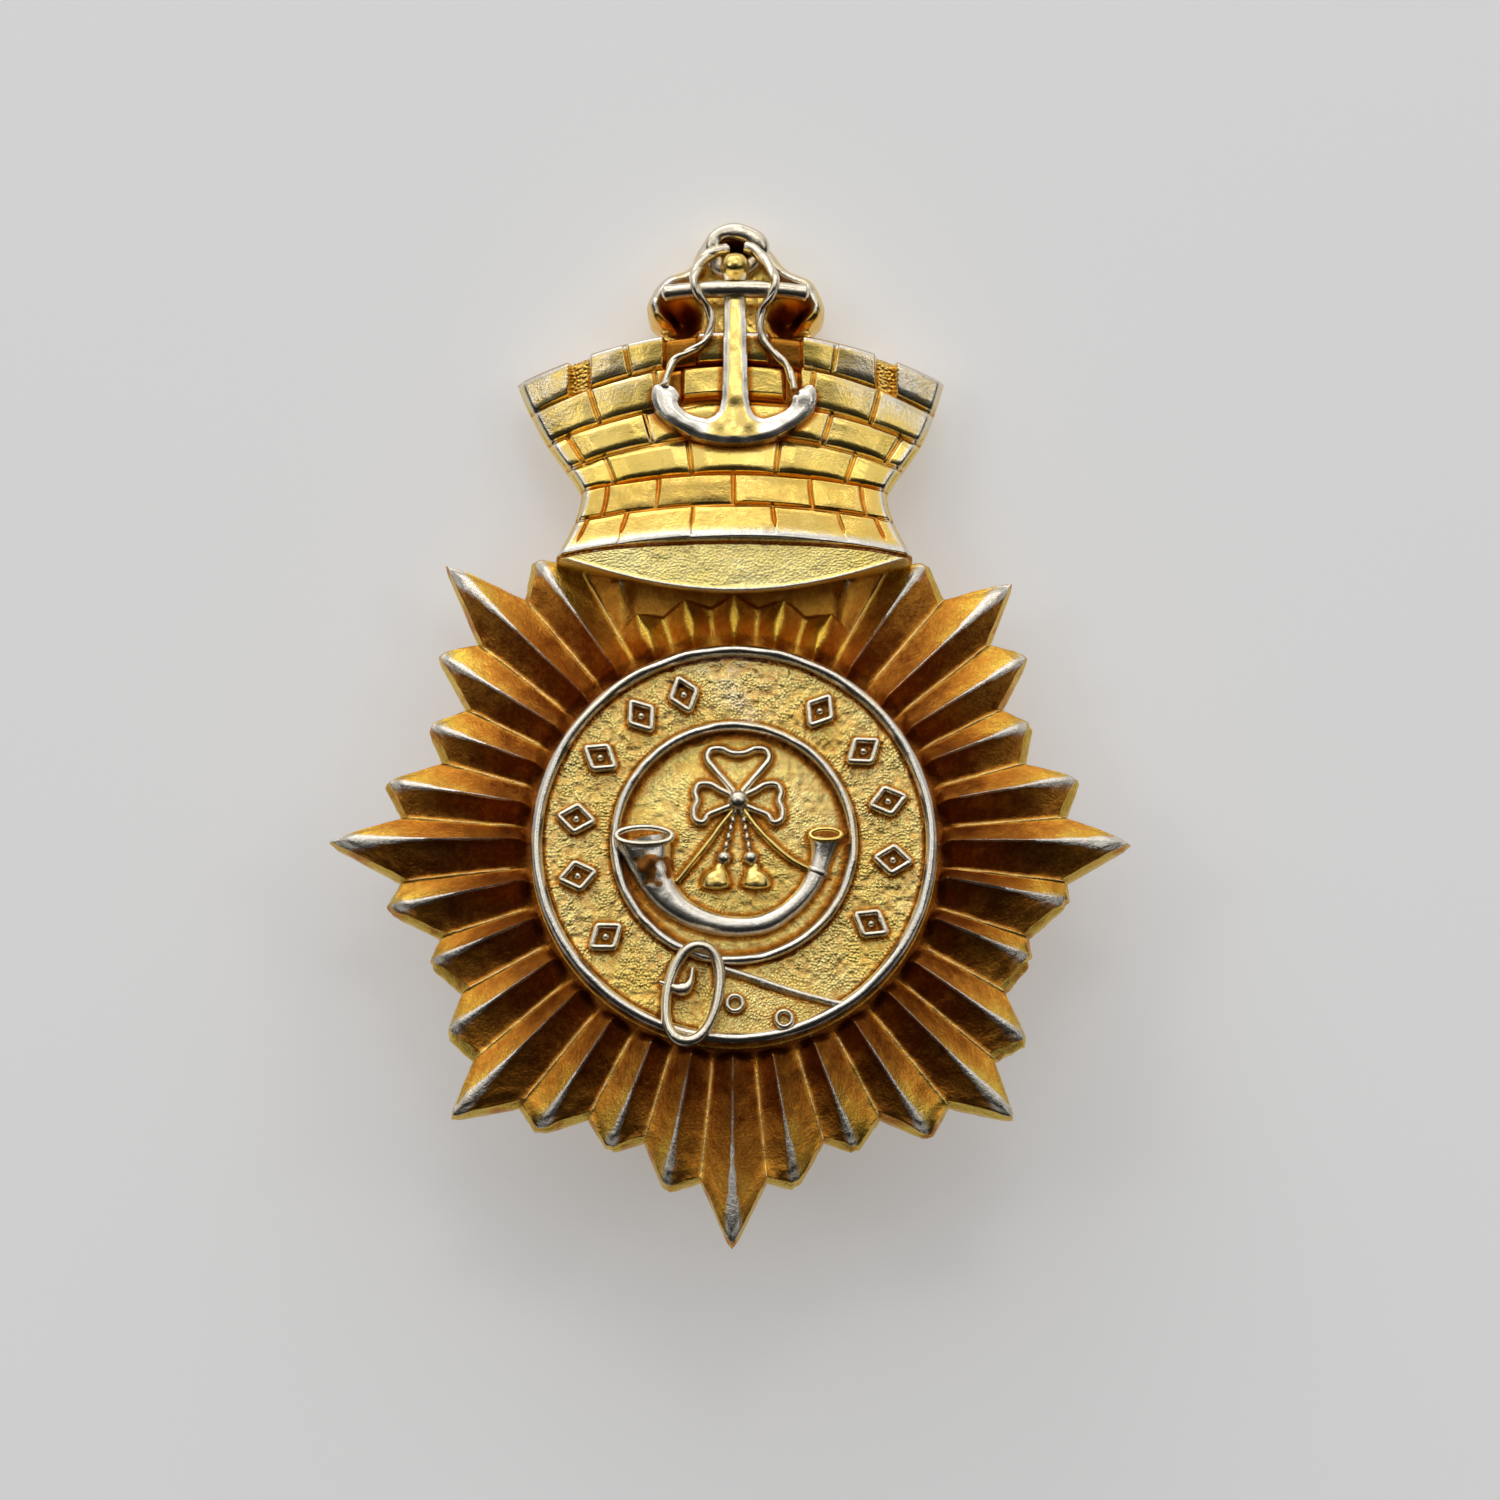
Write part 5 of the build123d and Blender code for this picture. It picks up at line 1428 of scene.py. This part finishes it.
def make_disc():
    rows, columns = 100, 640
    r = np.linspace(0.04, DISC_RADIUS, rows)[:, None]
    a = full_turn(columns)[None]
    x, z = r * np.cos(a), r * np.sin(a)
    grain = pebbles(x, z, 0.16, 91) * smooth_step(0.3, 0.7, value_noise(x, z, 0.4, 92))
    height = disc_height(x, z) - 0.03 + 0.05 * grain + (value_noise(x, z, 0.26, 93) - 0.5) * 0.06
    flat = np.stack((x, height, z), -1).reshape(-1, 3)
    overlays = [horn, bow, knot, slings, tassel_strings, balls, tassel_bells, bell, mouth]
    close = nearness(flat, overlays, 2.3, 0.30).reshape(x.shape)
    edge = DISC_RADIUS - r + 0 * a
    tone = 0.03 + 0.22 * (1 - grain) + 0.8 * smooth_step(0.5, 0.05, edge) + 0.62 * close
    wear = 0.10 * grain + 0.20 * np.exp(-((np.hypot(x + 1.9, z - 1.0) / 1.6) ** 2)) + 0 * a
    sheet = round_sheet(np.stack((x, height, z), -1), (0.0, DISC_HEIGHT, 0.0), DECK_HEIGHT)
    tone = np.clip(tone, 0, 1)
    return sheet_piece("disc_field", sheet, wear, tone, 0, "centre_disc", metals["pebbled"])


make_disc()

# ---------------------------------------------------------------- lugs and pin

LUG_WIRE = 0.49
LUG_FOOT = 1.4
PIN_AXIS = -5.0


def make_lug(node):
    """A loop of wire whose two feet stand in collars of solder on the pocket's floor."""
    low, high = node_box(node)
    x = (low[0] + high[0]) / 2
    half_turn = np.linspace(0, math.pi, 40)
    bend = [(x, PIN_AXIS - LUG_FOOT * math.sin(a), -LUG_FOOT * math.cos(a)) for a in half_turn]
    down = [(x, h, -LUG_FOOT) for h in np.linspace(POCKET_FLOOR + 0.1, PIN_AXIS, 24, endpoint=False)]
    up = [(x, h, LUG_FOOT) for h in np.linspace(PIN_AXIS, POCKET_FLOOR + 0.1, 25)[1:]]
    path = np.array(down + bend + up)
    radius = LUG_WIRE * (1 - 0.06 * (value_noise(path[:, 1], path[:, 2], 1.1, 101) - 0.3))
    parts = [wire(path, radius, 22)]
    for z in (-LUG_FOOT, LUG_FOOT):
        levels = np.linspace(POCKET_FLOOR + 0.05, POCKET_FLOOR - 0.85, 14)
        spread = LUG_WIRE + 0.62 * smooth_step(1.0, 0.0, np.linspace(0, 1, 14)) ** 2 - 0.02
        parts.append(wire(np.column_stack((np.full(14, x), levels, np.full(14, z))), spread, 30))
    obj = new_object(f"{node}_wire", *fused(*joined(*parts), 0.09, 3))
    set_attribute(obj, "tone", 0.35 * value_noise(points_of(obj)[:, 1], points_of(obj)[:, 2], 1.0, 102))
    return finish_piece(obj, [node], metals["wire"], 0.05, 0.25)


def make_pin():
    """A split pin: one half-round wire bent into an eye, its two legs side by side."""
    low, high = node_box("split_pin")
    leg, gap, eye = 0.74, 0.07, 1.27
    centre = low[0] + eye + leg
    neck = centre + math.sqrt(eye**2 - 0.5**2) + 0.4
    upper = [(x, PIN_AXIS, gap) for x in np.linspace(high[0] - 0.05, neck + 0.9, 60)]
    lower = [(x, PIN_AXIS, -gap) for x in np.linspace(neck + 0.9, high[0] - 0.75, 60)]
    turns = np.linspace(math.radians(26), math.radians(334), 70)
    loop = [(centre + eye * math.cos(a), PIN_AXIS, eye * math.sin(a)) for a in turns]
    path = spline(upper[::6] + [(neck + 0.35, PIN_AXIS, gap + 0.06)] + loop[::5]
                  + [(neck + 0.35, PIN_AXIS, -gap - 0.06)] + lower[::6], 360)
    along = np.gradient(path, axis=0)
    along /= np.linalg.norm(along, axis=1)[:, None]
    outward = -np.cross(along, (0.0, 1.0, 0.0))
    # Half-round section: a flat inner side with small corners, then the round
    angles = np.linspace(-82, 82, 17)
    section = [(leg * math.cos(math.radians(a)) ** 0.9, leg * math.sin(math.radians(a))) for a in angles]
    section += [(0.0, 0.66), (0.0, 0.33), (0.0, 0.0), (0.0, -0.33), (0.0, -0.66)]
    out = np.array([p[0] for p in section])
    side = np.array([p[1] for p in section])
    ends = np.minimum(np.arange(360), np.arange(360)[::-1])
    size = 0.72 + 0.28 * np.sqrt(np.clip(ends / 7, 0, 1))
    rings = path[:, None] + outward[:, None] * (out[None, :] * size[:, None])[:, :, None]
    rings[:, :, 1] += side[None, :] * size[:, None]
    points, faces = capped(rings, path + outward * 0.3 * size[:, None])
    obj = new_object("cotter", points, faces)
    x = points[:, 0]
    rub = 0.5 * smooth_step(0.45, 0.8, value_noise(x, points[:, 1] + points[:, 2], 1.2, 103))
    drawn = 0.35 * value_noise(x, points[:, 2] * 6 + points[:, 1] * 6, 2.5, 104)
    set_attribute(obj, "wear", rub)
    set_attribute(obj, "tone", drawn)
    obj = finish_piece(obj, ["split_pin"], metals["wire"], 0.04, 0.2)
    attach(obj, "pin")
    return obj


make_lug("lug_left")
make_lug("lug_right")
make_pin()

# ---------------------------------------------------------------- stage, camera and light

TILT = math.radians(12.5)
toward = Vector((0, -math.cos(TILT), -math.sin(TILT)))
upward = Vector((0, -math.sin(TILT), math.cos(TILT)))
rightward = Vector((1, 0, 0))

DISTANCE = 230.0
SENSOR, FRAME_PIXELS, MM_PER_PIXEL = 36.0, 1500, 0.049
# The middle of the frame: how far right, in front of the back rim, and up it lies
AIM_RIGHT, AIM_FRONT, AIM_UP = 0.784, 3.5, 4.38

camera_data = bpy.data.cameras.new("camera")
camera = bpy.data.objects.new("camera", camera_data)
bpy.context.scene.collection.objects.link(camera)
aim = rightward * AIM_RIGHT + Vector((0, -AIM_FRONT, 0)) + upward * AIM_UP
camera.location = (aim + toward * DISTANCE) * MM
camera.rotation_mode = "QUATERNION"
camera.rotation_quaternion = Matrix((rightward, upward, toward)).transposed().to_quaternion()
camera_data.sensor_width = SENSOR
camera_data.lens = SENSOR * DISTANCE / (MM_PER_PIXEL * FRAME_PIXELS)
camera_data.clip_start = 0.01
camera_data.clip_end = 10.0
bpy.context.scene.camera = camera


def make_table():
    """A large pale card, seen through from behind."""
    right, up = rightward * TABLE_REACH, table_up * TABLE_REACH
    corners = [TABLE_MIDDLE + right * a + up * b for a, b in ((-1, -1), (1, -1), (1, 1), (-1, 1))]
    mesh = bpy.data.meshes.new("table")
    mesh.from_pydata([tuple(c) for c in corners], [], [(0, 1, 2, 3)])
    card = bpy.data.objects.new("table", mesh)
    bpy.context.scene.collection.objects.link(card)
    material = bpy.data.materials.new("table")
    material.use_nodes = True
    tree = material.node_tree
    shader = tree.nodes["Principled BSDF"]
    shader.inputs["Base Color"].default_value = TABLE_COLOUR
    shader.inputs["Roughness"].default_value = 0.7
    shader.inputs["Specular IOR Level"].default_value = 0.2
    shader.inputs["Emission Color"].default_value = TABLE_COLOUR
    shader.inputs["Emission Strength"].default_value = TABLE_GLOW
    choose = add_node(tree, "ShaderNodeMixShader", {
        0: add_node(tree, "ShaderNodeNewGeometry").outputs["Backfacing"],
        1: shader.outputs[0],
        2: add_node(tree, "ShaderNodeBsdfTransparent").outputs[0],
    })
    tree.links.new(choose.outputs[0], tree.nodes["Material Output"].inputs[0])
    mesh.materials.append(material)


# The table that the badge lies on touches the crown's back and the lugs
TABLE_TILT = math.radians(13.9)
table_up = Vector((0, -math.sin(TABLE_TILT), math.cos(TABLE_TILT)))
TABLE_MIDDLE = Vector((0, 6.95, 0)) * MM
TABLE_REACH = 0.6
TABLE_COLOUR = (0.80, 0.80, 0.80, 1)
TABLE_GLOW = 0.345
make_table()


def softbox(name, place, target, size, power):
    light = bpy.data.lights.new(name, "AREA")
    light.shape = "RECTANGLE"
    light.size, light.size_y = size
    light.energy = power
    obj = bpy.data.objects.new(name, light)
    bpy.context.scene.collection.objects.link(obj)
    obj.location = place
    obj.rotation_euler = (Vector(target) - Vector(place)).to_track_quat("-Z", "Y").to_euler()


softbox("key", (-0.18, -0.28, 0.46), (0, 0, 0), (0.30, 0.22), 0.52)
softbox("front", (0.03, -0.45, 0.24), (0, 0, 0), (0.12, 0.06), 0.11)
softbox("top", (0.14, -0.12, 0.50), (0, 0, 0), (0.30, 0.16), 0.26)
softbox("left", (-0.31, -0.36, 0.03), (0, 0, 0.01), (0.09, 0.10), 0.09)
softbox("right", (0.31, -0.36, 0.03), (0, 0, 0.01), (0.09, 0.10), 0.08)

# Where the room is brightest, and its brightness from the opposite side to there
BRIGHT_SIDE = (-0.05, -0.62, 0.78)
ROOM = (
    (0.0, 0.012), (0.45, 0.015), (0.60, 0.06), (0.70, 0.20),
    (0.79, 0.52), (0.88, 1.0), (0.94, 0.86), (1.0, 0.60),
)


def make_room():
    """Bright above and in front, grey to the sides, dark below, and dark where the camera and hands are."""
    world = bpy.data.worlds.new("world")
    bpy.context.scene.world = world
    world.use_nodes = True
    tree = world.node_tree
    where = add_node(tree, "ShaderNodeTexCoord").outputs["Generated"]

    def alignment(direction):
        made = add_node(tree, "ShaderNodeVectorMath", {0: where, 1: direction}, operation="DOT_PRODUCT")
        return made.outputs["Value"]

    shift = add_node(
        tree, "ShaderNodeMapRange", {"Value": alignment(BRIGHT_SIDE), "From Min": -1.0, "From Max": 1.0}
    )
    sky = add_node(tree, "ShaderNodeValToRGB", {"Fac": shift.outputs["Result"]})
    set_ramp(sky.color_ramp, ROOM)
    blot = add_node(
        tree, "ShaderNodeMapRange",
        {"Value": alignment(toward), "From Min": 0.985, "From Max": 0.93, "To Min": 0.12, "To Max": 1.0},
        interpolation_type="SMOOTHSTEP",
    )
    dimmed = add_node(
        tree, "ShaderNodeVectorMath",
        {0: sky.outputs["Color"], "Scale": blot.outputs["Result"]},
        operation="SCALE",
    )
    background = tree.nodes["Background"]
    background.inputs["Strength"].default_value = 1.0
    tree.links.new(dimmed.outputs["Vector"], background.inputs["Color"])


make_room()
bpy.context.scene.view_settings.view_transform = "Standard"
